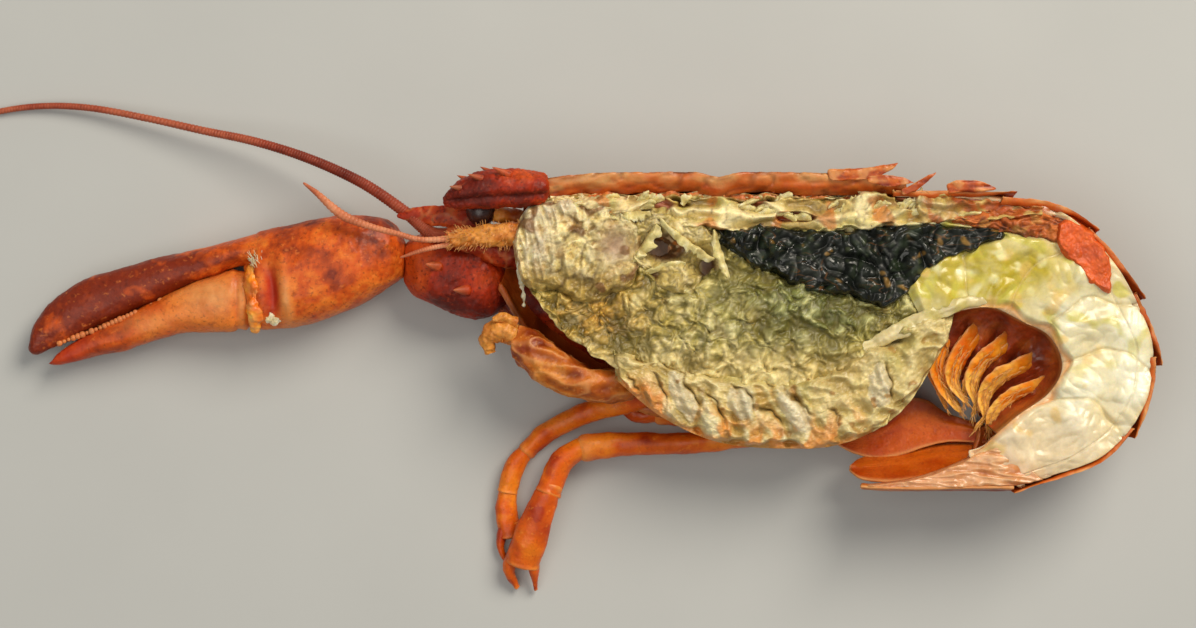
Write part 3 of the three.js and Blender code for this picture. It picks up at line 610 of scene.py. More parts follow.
def half_ring(back, belly, depth, angle, last, inset=0.0, floor=0.0):
    """Points of half rings round the body. The angle runs from 90 degrees at the back to last at the belly."""
    flank = (back + belly) / 2
    up = angle >= 0
    towards = np.where(up[..., None], back, belly)
    reach = np.linalg.norm(towards - flank, axis=-1)
    share = np.where(up, np.sin(angle), np.sin(-angle) / math.sin(-last))
    flat = flank + (towards - flank) * (share * (1 - inset / reach))[..., None]
    level = np.maximum(CUT - (depth - inset) * np.cos(angle), floor)
    return np.concatenate([flat, level[..., None]], -1)


def rails(table, t):
    table = np.asarray(table, float)
    back = spline(table[:, :2], t)[:, None]
    belly = spline(table[:, 2:4], t)[:, None]
    depth = spline(np.column_stack([table[:, 4], np.zeros(len(table))]), t)[:, :1]
    return back, belly, depth


def shell_wall(table, t, v, last, thickness, inset, tips=None, lip=2.0, fall=1.0):
    """Outer and inner faces of a curved shell with a lip along its cut edge, and marks for the finish."""
    back, belly, depth = rails(table, t)
    angle = (math.pi / 2 + (last - math.pi / 2) * v)[None] * np.ones((len(t), 1))
    tips = belly if tips is None else back + (belly - back) * tips[..., None]
    near = bell(v * NEAR_CUT)
    lip = lip * np.ones((len(t), 1))
    outer = half_ring(back, tips, depth, angle, last, inset)
    inner = half_ring(back, tips, depth, angle, last, inset + thickness + (lip - thickness) * near, thickness)
    inner[..., 2] -= fall * near
    w = np.linspace(0, 1, 9)[1:-1]
    rim = inner[:, :1] + (outer[:, :1] - inner[:, :1]) * w[None, :, None]
    rim[..., 2] += 0.22 * fall * np.sin(math.pi * w) ** 0.5
    wall = crescent(np.concatenate([outer, inner[:, ::-1], rim], 1), len(v))
    far = bell((1 - v) * 45)
    marks = {
        "inner": (0 * v, 1 + 0 * v, 1 + 0 * w),
        "edge": (0.8 * bell(v * 60) + 0.6 * far, 0.2 * far[::-1], 0.9 * smooth(w, 0.35, 0.75)),
        "across": (v, v[::-1], 0 * w),
        # depth: painted shade on the inner face under the lip and on the inner side of the rim
        "depth": (0 * v, 0.3 * near[::-1], 0.5 * (1 - smooth(w, 0.1, 0.5))),
    }
    return wall.mark(**{name: np.tile(np.concatenate(parts), len(t)) for name, parts in marks.items()})


def carapace():
    t, v = shares(300), shares(120)
    line = NECK_GROOVE["at"] - NECK_GROOVE["lean"] * v * v
    dip = NECK_GROOVE["depth"] * bell((t[:, None] - line) / NECK_GROOVE["width"])
    lip = 5.4 + 0.9 * noise(pack(t * 90, 0 * t, 0 * t), 9, 4)[:, None]
    wall = shell_wall(CARAPACE, t, v, MARGIN_ANGLE, WALL, dip, lip=lip, fall=3.4)
    p = wall.points
    inner, across = wall["inner"], wall["across"]
    outside = 1 - inner
    warts, _ = grains(p, 1.9, 3)
    rim = 0.5 * bell((across - 0.985) * 60)
    wall.push(outside * (0.16 * warts + 0.25 * rough(p, 9, 2)) - 0.1 + rim + 0.12 * rough(p, 2.5, 2, seed=4))
    near = bell(across * NEAR_CUT)
    torn = bell(across * AT_CUT) * (0.4 + 0.6 * smooth(p[:, 0], 40, 75))
    grooves = noise(p * [0.25, 1.5, 1], 2.2, 7) * near
    crack = smooth(creases(p * [0.3, 1, 1], 2.6, 17), 0.75, 0.98) * near
    wall.lift(torn * (0.7 * rough(p, 4, 3, seed=9) - 0.3) + 0.45 * grooves - 0.5 * crack)
    p[:, :2] += outside[:, None] * near[:, None] * 0.35 * pack(0 * p[:, 0], noise(p, 3, 19))
    p[:, 0] += bell(wall["along"] * 26) * (1.6 * noise(p, 5, 23) + 0.8 * noise(p, 2, 24))
    # deep: the inner face painted darker further down inside the shell, which is painted shade, with random dark
    # patches on it
    deep = inner * (0.55 * smooth(24 - p[:, 2], 0, 9) + 0.5 * spots(p, 7, 25, -0.1, 0.4)) * (1 - near)
    chips = near * spots(p * [0.5, 1, 1], 3.4, 33, 0.2, 0.4) * (0.35 + 0.65 * smooth(-p[:, 0], -10, 4))
    wall.mark(
        tone=0.5 + 0.25 * noise(p, 20, 2) + 0.5 * grooves,
        edge=wall["edge"] * (0.7 + 0.6 * noise(p, 5, 8) + 0.6 * grooves) + 0.7 * chips,
        # depth: that painted shade, plus painted shade in the cracks and in the hollows between the warts
        depth=wall["depth"] + deep + 0.5 * crack + 0.5 * bell(warts * 4) * outside,
    )
    return wall.on_table()


# Tail rings: back edge x, y, tips of the side flaps x, y, depth
TAIL_SHELL = [
    (73.5, 31.2, 82, -9, 25.4), (97, 30, 92, -6, 26.4), (116, 26.8, 99, -6.5, 26.5), (127.4, 17, 104, -9, 26.5),
    (135.8, 3.4, 107, -12.5, 26.5), (139.8, -10, 107.5, -16.5, 26.2), (136.8, -24.4, 105, -21, 25.4),
    (127, -36.3, 99, -27, 23), (103, -44, 90, -35, 18),
]
RING_BOUNDS = [0, 0.15, 0.32, 0.48, 0.63, 0.79, 1]
RING_OVERLAP = 0.022
FLAP_ANGLE = math.radians(-34)
FLARE = 1.4  # how far a ring's rear edge stands over the next ring


def tail_ring(index):
    start = RING_BOUNDS[index]
    end = RING_BOUNDS[index + 1] + (RING_OVERLAP if index < 5 else 0)
    s, v = shares(56), shares(110)
    point_of_flap = 1 - 0.34 * clamp((v[None] - 0.72) / 0.28) * np.abs(2 * s[:, None] - 1.1)
    lift = (FLARE * s * s)[:, None]
    fray = noise(pack(s * 12, 0 * s, 0 * s), 3, index)[:, None]
    lip = (1.9 + 0.9 * fray) * (1 - 0.75 * smooth(s, 0.5, 1))[:, None]
    where = start + (end - start) * s
    wall = shell_wall(TAIL_SHELL, where, v, FLAP_ANGLE, TAIL_WALL, -lift, point_of_flap, lip)
    p = wall.points
    along, outside = wall["along"], 1 - wall["inner"]
    rear_bead = 0.25 * bell((along - 0.96) * 28)
    front_step = -0.35 * smooth(0.24 - along, 0, 0.08)
    steps = rear_bead + front_step + 0.12 * rough(p, 4, 3)
    wall.push(outside * steps + 0.12 * rough(p, 1.8, 2, seed=6) - 0.08)
    wall.lift(bell(wall["across"] * AT_CUT) * (0.5 * rough(p, 4, 3, seed=3 + index) - 0.25))
    pale_rear = 0.45 * bell((along - 1) * 14)
    worn = wall["edge"] * (0.6 + 0.8 * noise(p, 4, 5))
    wall.mark(tone=0.35 + 0.4 * noise(p, 9, 3 + index), edge=clamp(np.maximum(worn, pale_rear * outside)))
    return wall.on_table()


# Soft parts: bumps and hollows of the cut face as x, y, radius x, radius y, height
RELIEF = [
    (-6, 17, 12, 11, 2.4), (9, 22, 5, 4, 1.5), (14, 17, 4, 4, -5), (26, 12, 3.5, 4, -4), (20, 20, 5, 3, 1.5),
    (58, 13, 26, 8, -1.6), (30, -2, 16, 9, 1.6), (2, -2, 9, 6, -1), (50, -8, 16, 7, 1), (72, -7, 5, 1.6, -3.5),
    (40, 27, 40, 3, -1.2), (118, 2, 14, 12, 1.6), (124, -26, 10, 10, 1.2),
]
CHEST = [
    (-15, 30, -17, 5, 12), (-4, 31.5, -7, -6, 19), (12, 31.8, 6, -14, 24.8), (32, 31.8, 24, -27, 26.6),
    (53, 31.6, 50, -31, 26.8), (68, 31, 72, -27, 26.8), (76, 30, 82, -11, 25.8),
]
TAIL_FLESH = [
    (75.5, 29.5, 83, -3, 24.5), (97, 28.6, 91.5, 1, 25.5), (114.5, 24.8, 99, 1.5, 25.5),
    (125.3, 15.6, 106.5, -2, 25.5), (133.6, 2.5, 113, -5.5, 25.5), (137.7, -10, 116.3, -13, 25),
    (134.6, -24, 113, -19.7, 24), (125.5, -34.6, 105, -25.5, 22), (104, -42.4, 93, -36, 16),
]


def cut_height(x, y):
    lumps = 0.7 * noise(np.stack([x, y, 0 * x], -1), 11, 2)
    return CUT - 1 + lumps + sum(high * hill(x, y, cx, cy, rx, ry) for cx, cy, rx, ry, high in RELIEF)


def half_body(table, rings, across, around):
    """A soft half of the body: the marks lengthwise and sideways run along it and from belly to back."""
    t = shares(rings)
    back, belly, depth = rails(table, t)
    v = shares(around)
    last = -math.pi / 2
    angle = (math.pi / 2 - math.pi * v)[None] * np.ones((len(t), 1))
    under = half_ring(back, belly, depth, angle, last)
    share = shares(across)[1:-1]
    top = under[:, -1:] + (under[:, :1] - under[:, -1:]) * share[None, :, None]
    points = np.concatenate([under, top], 1)
    edge = np.zeros(points.shape[1], bool)
    edge[0] = True
    edge[around:] = True
    points[:, edge, 2] = cut_height(points[:, edge, 0], points[:, edge, 1])
    body = tube(points)
    sideways = np.tile(np.concatenate([1 - v, share]), len(t))
    on_top = np.tile(edge.astype(float), len(t))
    body.marks["sideways"] = np.append(sideways, [0.5, 0.5])
    body.marks["top"] = np.append(on_top, [0, 0])
    return body


# Outlines of the organs on the cut face: x and y along the upper edge, then along the lower edge
ROE_RAILS = (
    [(29, 22), (40, 23), (55, 22), (68, 22.8), (80, 23.8), (91, 23.6), (104, 21.4)],
    [(30, 17.6), (38, 11.2), (50, 6.4), (62, 3.2), (73, 1.4), (84, 11.4), (104, 18.2)],
)
STOMACH_RAILS = (
    [(-21, 22), (-16, 28.4), (-8, 30.2), (0, 29.8), (8, 27.2), (13, 19)],
    [(-21.5, 18), (-19, 8), (-12, 4), (-3, 2), (7, 5), (13, 16)],
)
MILL_RAILS = (
    [(8, 25), (14, 27), (20, 26.4), (27, 23.6), (31.4, 16)],
    [(8.4, 14), (12, 8.6), (18, 5), (25, 6), (31, 12)],
)
BACK_RAILS = (
    [(-12, 29.6), (0, 29.6), (14, 29.8), (34, 30), (55, 30.2), (74, 31), (88, 30.2), (112, 27)],
    [(-12, 26.4), (0, 25), (14, 22.6), (34, 20), (55, 20), (74, 21.2), (88, 22), (112, 23.8)],
)
LEG_RAILS = (
    [(4, -9), (20, -13), (36, -16), (52, -16), (64, -11), (75, -3), (90, 3)],
    [(4.4, -16.4), (15.6, -25.6), (29.6, -32), (46, -33.8), (62, -32.4), (75.6, -25), (87.6, -7)],
)
STRAND_RAILS = (
    [(86, 26.2), (98, 27), (107, 27), (114, 26.2), (118.5, 25)],
    [(86, 21.4), (98, 19.4), (107, 17.6), (114, 16.8), (118, 16)],
)


def inside_by(x, y, upper, lower):
    """How far points lie inside the outline between two rails, negative outside."""
    ring = np.vstack([spline(upper, shares(14)), spline(lower, shares(14))[::-1]])
    end = np.roll(ring, -1, axis=0)
    spot = np.stack([x, y], -1)
    nearest = np.full(len(x), 1e9)
    within = np.zeros(len(x), bool)
    for a, b in zip(ring, end):
        share = clamp(np.sum((spot - a) * (b - a), 1) / max(np.sum((b - a) ** 2), 1e-9))
        nearest = np.minimum(nearest, np.linalg.norm(spot - a - share[:, None] * (b - a), axis=1))
        where = a[0] + (b[0] - a[0]) * (y - a[1]) / (b[1] - a[1] + 1e-12)
        within ^= ((a[1] > y) != (b[1] > y)) & (x < where)
    return np.where(within, nearest, -nearest)


def hidden(x, y, *outlines):
    """1 well inside any of the outlines and 0 outside them all."""
    return np.max([smooth(inside_by(x, y, *rows), 0.8, 3) for rows in outlines], axis=0)


def chest():
    """The greenish liver that fills the chest under and between the other organs."""
    table = np.array(CHEST, float)
    table[:, 1] -= 1.6
    body = half_body(table, 400, 220, 24)
    p = body.points
    x, y = p[:, 0], p[:, 1]
    top = body["top"]
    drift = pack(noise(p, 8, 40), noise(p, 8, 41), 0 * x)
    big = smooth(creases(p * [0.85, 1, 1] + 2.6 * drift, 7.5, 3), 0.35, 1)
    mid = smooth(creases(p + 1.6 * drift, 3.6, 14), 0.4, 1)
    fine = rough(p, 1.7, 3, 0.6, 15)
    lump, kind = grains(p * [0.9, 1, 1] + drift + 0.5 * fine[:, None], 3.4, 17)
    crumb, shade = grains(p + 0.7 * drift, 1.7, 18)
    small = 0.8 * lump * (0.4 + kind) + 0.5 * crumb + 0.4 * fine - 0.5
    fan = np.arctan2(y - 12, x - 30)
    strips = np.abs(noise(pack(fan * 9, 0.1 * np.hypot(x - 30, y - 12), 0 * x), 1, 6))
    shred = hill(x, y, 24, -8, 13, 10)
    skin = smooth(y, 28.6, 29.8) * top
    covered = hidden(x, y, ROE_RAILS, STOMACH_RAILS, MILL_RAILS, BACK_RAILS, LEG_RAILS)
    body.lift(top * (1.3 * big + 0.6 * mid + 1.3 * small + 1.3 * shred * strips - 2.4 - 3.4 * covered) - skin)
    sway = pack(noise(p, 4.4, 31), noise(p, 4.4, 32)) * smooth(p[:, 2], 18, 26)[:, None]
    p = body.points
    p[:, :2] += 1.1 * sway
    flank = 1 - top
    veils = creases(p * [1, 1, 0.4] + drift, 6, 44)
    body.push(flank * (1.2 * veils - 1.0 + 0.5 * rough(p, 4, 3, 0.6, 47)))
    grit, luck = grains(p, 1.3, 7)
    body.lift(top * 0.35 * grit * luck)
    rear = clamp(1.3 * hill(x, y, 54, 2, 25, 9.5))
    front = hill(x, y, -1, 0, 14, 11)
    low = smooth(-y, 7, 13)
    # Painted highlight: the crests of the lumps are painted paler. Painted shade: the hollows and the cracks between
    # the lumps are painted darker.
    lit_crests = smooth(big + 0.35 * mid + 0.9 * small, 0.8, 1.6)
    shaded_hollows = smooth(1.05 - big - 0.3 * mid - 0.8 * small, 0.1, 0.8) * top
    pale = lump * smooth(kind, 0.72, 0.84) + 0.5 * crumb * smooth(shade, 0.8, 0.9)
    dark = smooth(0.24 - kind, 0, 0.1) * (1 - 0.5 * lump) + 0.6 * smooth(0.16 - shade, 0, 0.08)
    shaded_gaps = bell(lump * 4.5) + 0.5 * bell(crumb * 5)
    return body.paint(
        (0.6, 0.48, 0.12),
        (0.85 * spots(p, 8, 2, 0, 0.35), 0.66, 0.56, 0.2),
        (0.75 * spots(p, 5, 13, 0.05, 0.3), 0.2, 0.175, 0.03),
        (0.7 * spots(p, 3.4, 43, 0.25, 0.5), 0.3, 0.17, 0.03),
        (0.96 * rear * spots(p, 12, 3, -0.9, 0), 0.075, 0.086, 0.012),
        # painted highlight on the crests of the lumps
        (0.7 * rear * lit_crests, 0.3, 0.32, 0.1),
        (0.75 * rear * lit_crests * spots(p, 5, 19, 0.1, 0.35), 0.62, 0.6, 0.28),
        (0.9 * shred * smooth(strips, 0.05, 0.4), 0.74, 0.64, 0.34),
        (0.93 * front, 0.46, 0.22, 0.026),
        (0.9 * front * lit_crests, 0.78, 0.48, 0.085),
        (0.7 * front * spots(p, 4.4, 7, 0.2, 0.5), 0.7, 0.5, 0.2),
        (0.8 * low, 0.78, 0.6, 0.25),
        (0.7 * lit_crests * (1 - rear) * (1 - front), 0.76, 0.66, 0.31),
        # painted shade in the hollows
        (0.7 * shaded_hollows, 0.12, 0.1, 0.016),
        (0.6 * shaded_hollows * front, 0.12, 0.045, 0.008),
        (0.5 * shaded_hollows * low, 0.4, 0.28, 0.07),
        (0.5 * dark * (1 - 0.6 * low), 0.17, 0.14, 0.024),
        (0.75 * pale * (1 - 0.6 * rear), 0.8, 0.7, 0.36),
        (0.55 * pale * rear, 0.42, 0.46, 0.2),
        # painted shade in the cracks between the lumps
        (0.34 * shaded_gaps * top * (1 - 0.5 * low), 0.13, 0.1, 0.018),
        (0.3 * luck * grit * (1 - low), 0.2, 0.17, 0.04),
        (0.95 * skin, 0.62, 0.15, 0.03),
        (flank, 0.3, 0.22, 0.06),
        (0.8 * flank * smooth(veils, 0.7, 0.95), 0.6, 0.46, 0.2),
        (0.8 * flank * spots(p, 7, 45, 0.05, 0.4), 0.34, 0.1, 0.02),
        (0.8 * flank * spots(p, 4, 46, 0.15, 0.45), 0.12, 0.09, 0.02),
    )


def tail_meat():
    """The tail's muscle with its thin cross walls, pale rim inside the curl and yellow-green stains."""
    table = np.array(TAIL_FLESH, float)
    table[0, [0, 2]] -= 2.6
    body = half_body(table, 420, 120, 60)
    p = body.points
    top = body["top"]
    t = body["along"]
    side = body["sideways"]
    bounds = np.array(RING_BOUNDS[1:-1]) - 0.01
    bent = t + 0.045 * np.sin(side * 3.4) - 0.03 * side + 0.014 * noise(p, 7, 1)
    gap = np.min(np.abs(bent[:, None] - bounds), axis=1)
    seam = bell(gap / 0.005)
    bulge = smooth(gap, 0, 0.06)
    skin = bell((side - 0.86 + 0.03 * noise(p, 9, 4)) / 0.012)
    scallop = 1.7 * (1 - smooth(side, 0, 0.2)) * (1 - bulge) * top
    out = unit(spline(table[:, :2], t) - spline(table[:, 2:4], t))
    shift = scallop + 1.3 * top * smooth(side, 0.86, 1)
    p[:, :2] += out * shift[:, None]
    nose = 1 - smooth(t, 0, 0.07)
    p[:, 0] -= nose * (3.6 * np.sin(math.pi * side) - 1.8)
    tail_end = smooth(t, 0.93, 1)
    p[:, :2] += tail_end[:, None] * pack(2.6 * noise(p, 4, 61), 1.2 * noise(p, 4, 62))
    x, y = p[:, 0], p[:, 1]
    soft, plump = rough(p, 11, 2, seed=2), curds(p, 7, 2, 4)
    rims = 1.1 * (1 - smooth(side, 0, 0.09)) + 1.6 * (1 - smooth(t, 0, 0.02))
    covered = hidden(x, y, ROE_RAILS, BACK_RAILS, STRAND_RAILS)
    relief = soft + bulge + 0.8 * plump - 0.3 * seam - 0.25 * skin - rims - 3.2 * covered - 0.5
    body.lift(top * relief)
    roof = smooth(y, 24, 26) * smooth(118 - x, 0, 5)
    body.lift(-(1.4 * roof + 1.6 * smooth(t, 0.95, 1)) * top)
    yellow = clamp(1.3 * hill(x, y, 89, 11, 16, 12) + 0.75 * hill(x, y, 110, 11, 13, 7))
    stains = spots(p, 5, 9, 0.22, 0.5) * smooth(0.78 - t, 0, 0.3)
    return body.paint(
        (0.77, 0.7, 0.46),
        (0.8 * smooth(soft, 0, 0.6), 0.87, 0.85, 0.68),
        (0.6 * smooth(-soft, 0, 0.6), 0.7, 0.59, 0.32),
        (0.75 * smooth(t, 0.68, 0.95), 0.7, 0.54, 0.34),
        (0.85 * tail_end, 0.66, 0.36, 0.17),
        (0.95 * yellow, 0.54, 0.43, 0.035),
        (0.8 * yellow * spots(p, 5, 5, 0.05, 0.4), 0.52, 0.4, 0.015),
        (0.7 * yellow * spots(p, 4, 2, 0.15, 0.5), 0.86, 0.82, 0.46),
        (0.75 * stains, 0.6, 0.54, 0.08),
        (0.6 * spots(p, 5, 17, 0.25, 0.5) * smooth(0.7 - side, 0, 0.3), 0.78, 0.52, 0.15),
        (0.45 * seam * top, 0.6, 0.45, 0.16),
        (0.35 * skin * top, 0.66, 0.56, 0.34),
        (0.8 * (1 - smooth(side, 0, 0.07)), 0.74, 0.34, 0.11),
        (0.6 * smooth(side, 0.95, 1), 0.74, 0.5, 0.22),
        (0.95 * roof, 0.44, 0.1, 0.014),
        (0.7 * roof * spots(p, 4, 33, 0.1, 0.4), 0.5, 0.36, 0.08),
        (1 - top, 0.72, 0.5, 0.3),
    )


def patch(upper, lower, rings=160, across=70, drop=3.0, rim=1.8, crown=0.6, ragged=1.0):
    """A soft organ's top between two rails, dipping into the flesh round its uneven edge, closed below."""
    t, v = shares(rings), shares(across)
    a = spline(upper, t)[:, None]
    b = spline(lower, t)[:, None]
    flat = a + (b - a) * v[None, :, None]
    width = np.linalg.norm(a - b, axis=-1)
    length = np.linalg.norm(np.diff((a + b)[:, 0] / 2, axis=0), axis=1).sum()
    to_side = np.minimum(v, 1 - v)[None] * width
    to_end = (np.minimum(t, 1 - t) * length)[:, None] * np.ones((1, len(v)))
    level = np.concatenate([flat, 0 * flat[..., :1]], -1)
    inside = np.minimum(to_side, to_end) - 0.4 * ragged
    inside = inside + ragged * (1.4 * noise(level, 5, 5) + 0.7 * noise(level, 1.9, 6))
    height = cut_height(flat[..., 0], flat[..., 1]) + (drop + crown) * smooth(inside, -0.4, rim) - drop
    top = np.concatenate([flat, height[..., None]], -1)
    under = top[:, :: -(across // 5)].copy()
    under[..., 2] = np.minimum(under[..., 2], CUT - 5) - 1.5
    made = tube(np.concatenate([top, under], 1))
    beneath = np.zeros(under.shape[1])
    on_top = np.append(np.tile(np.append(np.ones(len(v)), beneath), rings + 1), [0, 0])
    sideways = np.append(np.tile(np.append(v, beneath), rings + 1), [0, 0])
    return made.mark(top=on_top, sideways=sideways)


def dark_roe():
    made = patch(*ROE_RAILS, 300, 140, crown=1.3, ragged=1.2)
    p = made.points
    big, small = curds(p, 7, 2, 7), curds(p, 3.2, 1, 3)
    seeds, luck = grains(p, 1.5, 4)
    made.lift(made["top"] * (2.6 * big + small + 0.16 * seeds - 1.3))
    thread = smooth(np.abs(noise(p * [1, 2.2, 1], 3.6, 12)), 0, 0.09)
    return made.paint(
        (0.008, 0.011, 0.008),
        (0.8 * spots(p, 5, 4, 0, 0.5), 0.02, 0.032, 0.014),
        (0.8 * (1 - thread) * spots(p, 9, 6, 0, 0.35), 0.18, 0.07, 0.02),
        # painted glint: greenish grey on the middles of some grains
        (0.5 * smooth(luck, 0.8, 1) * seeds, 0.1, 0.12, 0.05),
        (0.8 * spots(p, 3.4, 11, 0.5, 0.65), 0.26, 0.14, 0.03),
        # painted shade, nearly black, in the cracks between the lumps
        (bell(small * 5), 0.002, 0.003, 0.002),
    )


def coral_roe():
    band = patch(*STRAND_RAILS, 180, 60, crown=0.6, ragged=1.0)
    q = band.points
    knots = curds(q * [0.6, 1, 1], 2.2, 2, 5)
    band.lift(band["top"] * (1.6 * knots + 0.6 * rough(q, 3, 3, seed=2) - 0.9))
    dark_end = smooth(20.5 - q[:, 1] - 0.1 * (100 - q[:, 0]), 0, 1.2) * smooth(110 - q[:, 0], 0, 6)
    band.paint(
        (0.4, 0.09, 0.016),
        (0.8 * spots(q, 3.4, 7, -0.1, 0.4), 0.62, 0.17, 0.03),
        (0.8 * spots(q, 2.6, 3, 0.15, 0.5), 0.14, 0.035, 0.012),
        (0.7 * spots(q, 3, 9, 0.3, 0.5), 0.5, 0.24, 0.06),
        (0.9 * dark_end, 0.02, 0.02, 0.015),
        # painted shade in the valleys between the knots
        (bell(knots * 5) * 0.8, 0.07, 0.014, 0.006),
    )
    blob = patch(
        [(114.4, 23), (118, 25.2), (122.4, 22.8), (126.4, 17.8), (129.2, 11.6), (129, 4.4)],
        [(114.4, 19), (116, 14), (118.4, 11.2), (121.2, 8.4), (124.4, 6), (127.6, 4)],
        140, 80, crown=1.5, ragged=0.7,
    )
    p = blob.points
    seeds, luck = grains(p, 0.9, 2)
    blob.lift(blob["top"] * (0.12 * seeds + 0.5 * rough(p, 6, 3, seed=6) + 0.5 * curds(p, 4, 2, 2)))
    blob.paint(
        (0.72, 0.1, 0.005),
        (0.4 * luck, 0.8, 0.17, 0.012),
        (0.6 * spots(p, 5, 3, 0.1, 0.5), 0.58, 0.07, 0.006),
        # painted shade between the grains
        (0.4 * (1 - seeds), 0.42, 0.045, 0.006),
    )
    return joined(band, blob)


def stomach():
    sac = patch(*STOMACH_RAILS, 210, 140, crown=1.0, rim=3, ragged=1.2)
    p = sac.points
    x, y = p[:, 0], p[:, 1]
    lumps, fine = curds(p, 6, 1, 4), curds(p, 3, 1, 9)
    folds = smooth(creases(p, 4.2, 12), 0.5, 1)
    crumb = rough(p, 1.6, 3, 0.6, 22)
    curd, kind = grains(p + 0.8 * crumb[:, None], 2.6, 19)
    white = clamp(hill(x, y, -15.5, 18, 5, 11) + hill(x, y, -8, 27.4, 8, 3))
    fibres = creases(pack(x * 1.2 + 0.3 * y, y * 0.22, 0 * x), 1.9, 4)
    grey = hill(x, y, 4.5, 17, 4.6, 5.4)
    olive = smooth(-y + 3 * noise(p, 5, 2), -13, -7)
    soft = (1 - 0.85 * grey) * (1 - 0.65 * white)
    relief = 0.8 * lumps + 0.3 * fine + 0.9 * folds + 0.5 * curd * kind + 0.4 * crumb
    sac.lift(sac["top"] * (soft * relief + 1.9 * white * fibres + 0.5 * rough(p, 6, 2, seed=1) - 1.3))
    # painted shade in the valleys between the curds
    shaded_valleys = bell(fine * 4) * 0.35 + bell(lumps * 6) * 0.5
    return sac.paint(
        (0.78, 0.59, 0.2),
        (0.75 * folds, 0.88, 0.76, 0.4),
        (0.7 * spots(p, 5, 6, 0.15, 0.5), 0.5, 0.28, 0.06),
        (0.95 * white * smooth(fibres, 0.35, 0.9), 0.76, 0.66, 0.47),
        (0.7 * white * (1 - smooth(fibres, 0.2, 0.7)), 0.3, 0.19, 0.09),
        (0.4 * smooth(crumb, 0.1, 0.4), 0.84, 0.74, 0.42),
        (0.5 * smooth(-crumb, 0.2, 0.5), 0.36, 0.2, 0.05),
        (0.7 * curd * smooth(kind, 0.75, 0.85) * soft, 0.9, 0.8, 0.5),
        (0.7 * smooth(0.14 - kind, 0, 0.08) * soft, 0.34, 0.17, 0.04),
        (0.9 * grey, 0.36, 0.23, 0.15),
        (0.9 * olive, 0.32, 0.21, 0.045),
        (0.7 * olive * folds, 0.58, 0.4, 0.1),
        (0.85 * spots(p, 4, 15, 0.42, 0.58), 0.22, 0.09, 0.025),
        (shaded_valleys * soft, 0.12, 0.07, 0.02),
    )


def gastric_mill():
    pocket = patch(*MILL_RAILS, 150, 110, crown=0.6, ragged=1.2)
    p = pocket.points
    x, y = p[:, 0], p[:, 1]
    small = 0.9 * hill(x, y, 27.6, 11.5, 2.2, 3.4), 0.7 * hill(x, y, 13, 9.5, 3, 1.8)
    shaded_pit = clamp(hill(x, y, 17, 16.6, 5.2, 3.4) + small[0] + small[1])
    folds = creases(p, 4.4, 6)
    lumps = curds(p, 2.2, 2, 3)
    pocket.lift(pocket["top"] * (folds + 0.8 * lumps - 5.0 * shaded_pit - 0.7))
    inside_pit = hill(x, y, 18, 17.6, 3.4, 2)
    return pocket.paint(
        (0.5, 0.38, 0.12),
        (0.8 * smooth(folds, 0.7, 1), 0.74, 0.62, 0.32),
        (0.7 * spots(p, 3, 5, 0.1, 0.5), 0.34, 0.26, 0.06),
        # painted shade: dark in the valleys between the lumps and nearly black down in the pit
        (0.6 * bell(lumps * 4), 0.12, 0.07, 0.02),
        (0.95 * smooth(shaded_pit, 0.15, 0.6), 0.1, 0.035, 0.01),
        (0.9 * inside_pit * spots(p, 1.8, 4, -0.1, 0.3), 0.6, 0.2, 0.035),
        (0.8 * inside_pit * spots(p, 1.4, 14, 0.3, 0.5), 0.8, 0.6, 0.35),
    )


def back_tissue():
    """Crumpled membranes and fat under the back of the shell."""
    band = patch(*BACK_RAILS, 400, 90, crown=1.0, rim=1.2, ragged=1.0)
    p = band.points
    x, y = p[:, 0], p[:, 1]
    slanted = pack(x * 0.3 - 0.14 * y, y, p[:, 2])
    folds = creases(slanted + 0.9 * pack(noise(p, 5, 3), noise(p, 5, 4), 0 * x), 4.2, 3)
    sharp = smooth(folds, 0.4, 1)
    lumps = curds(p, 4, 2, 8)
    shaded_hole = spots(p * [0.55, 1, 1], 4.6, 21, 0.28, 0.42) * smooth(y, 21.5, 24)
    band.lift(band["top"] * (2.6 * sharp + 0.7 * lumps - 3.0 * shaded_hole - 1.8))
    rear = smooth(x, 66, 92)
    return band.paint(
        (0.64, 0.49, 0.17),
        (0.85 * smooth(sharp, 0.45, 0.95), 0.88, 0.76, 0.42),
        (0.6 * smooth(20 - x, 0, 20), 0.84, 0.64, 0.32),
        # painted shade in the valleys between the folds
        (0.7 * (1 - smooth(sharp, 0.1, 0.5)), 0.26, 0.15, 0.03),
        (0.6 * spots(p, 7, 5, 0.1, 0.5), 0.46, 0.4, 0.08),
        (0.8 * spots(p, 5, 15, 0.25, 0.5), 0.56, 0.2, 0.045),
        (0.6 * rear, 0.36, 0.22, 0.04),
        (0.9 * rear * spots(p, 4, 6, -0.1, 0.25), 0.42, 0.08, 0.01),
        (0.9 * smooth(x, 84, 94) * spots(p, 5, 26, -0.4, 0.1), 0.4, 0.07, 0.008),
        (0.7 * rear * spots(p, 3.4, 16, 0.3, 0.5), 0.68, 0.55, 0.18),
        # painted shade between the lumps and, dark red, down in the holes
        (0.6 * bell(lumps * 5), 0.14, 0.08, 0.02),
        (0.9 * shaded_hole, 0.26, 0.035, 0.006),
    )


# Lobes at the legs' roots: middle x, y, half length, half width, turn in degrees, and 1 for a pale grey one
LOBES = [
    (7, -19, 3.6, 2.4, -70, 0), (13.6, -21, 6, 2.6, -74, 0), (21, -20.4, 7.2, 2.6, -62, 1),
    (28.6, -25.6, 5, 2.2, -62, 0), (35.4, -22.6, 5, 2.5, -58, 1), (42.4, -27.4, 4.4, 2.3, -62, 0),
    (49.4, -25, 5.8, 2.9, -48, 1), (58, -27, 4, 2.4, -70, 0), (70.6, -18, 6, 2.8, -82, 1),
]


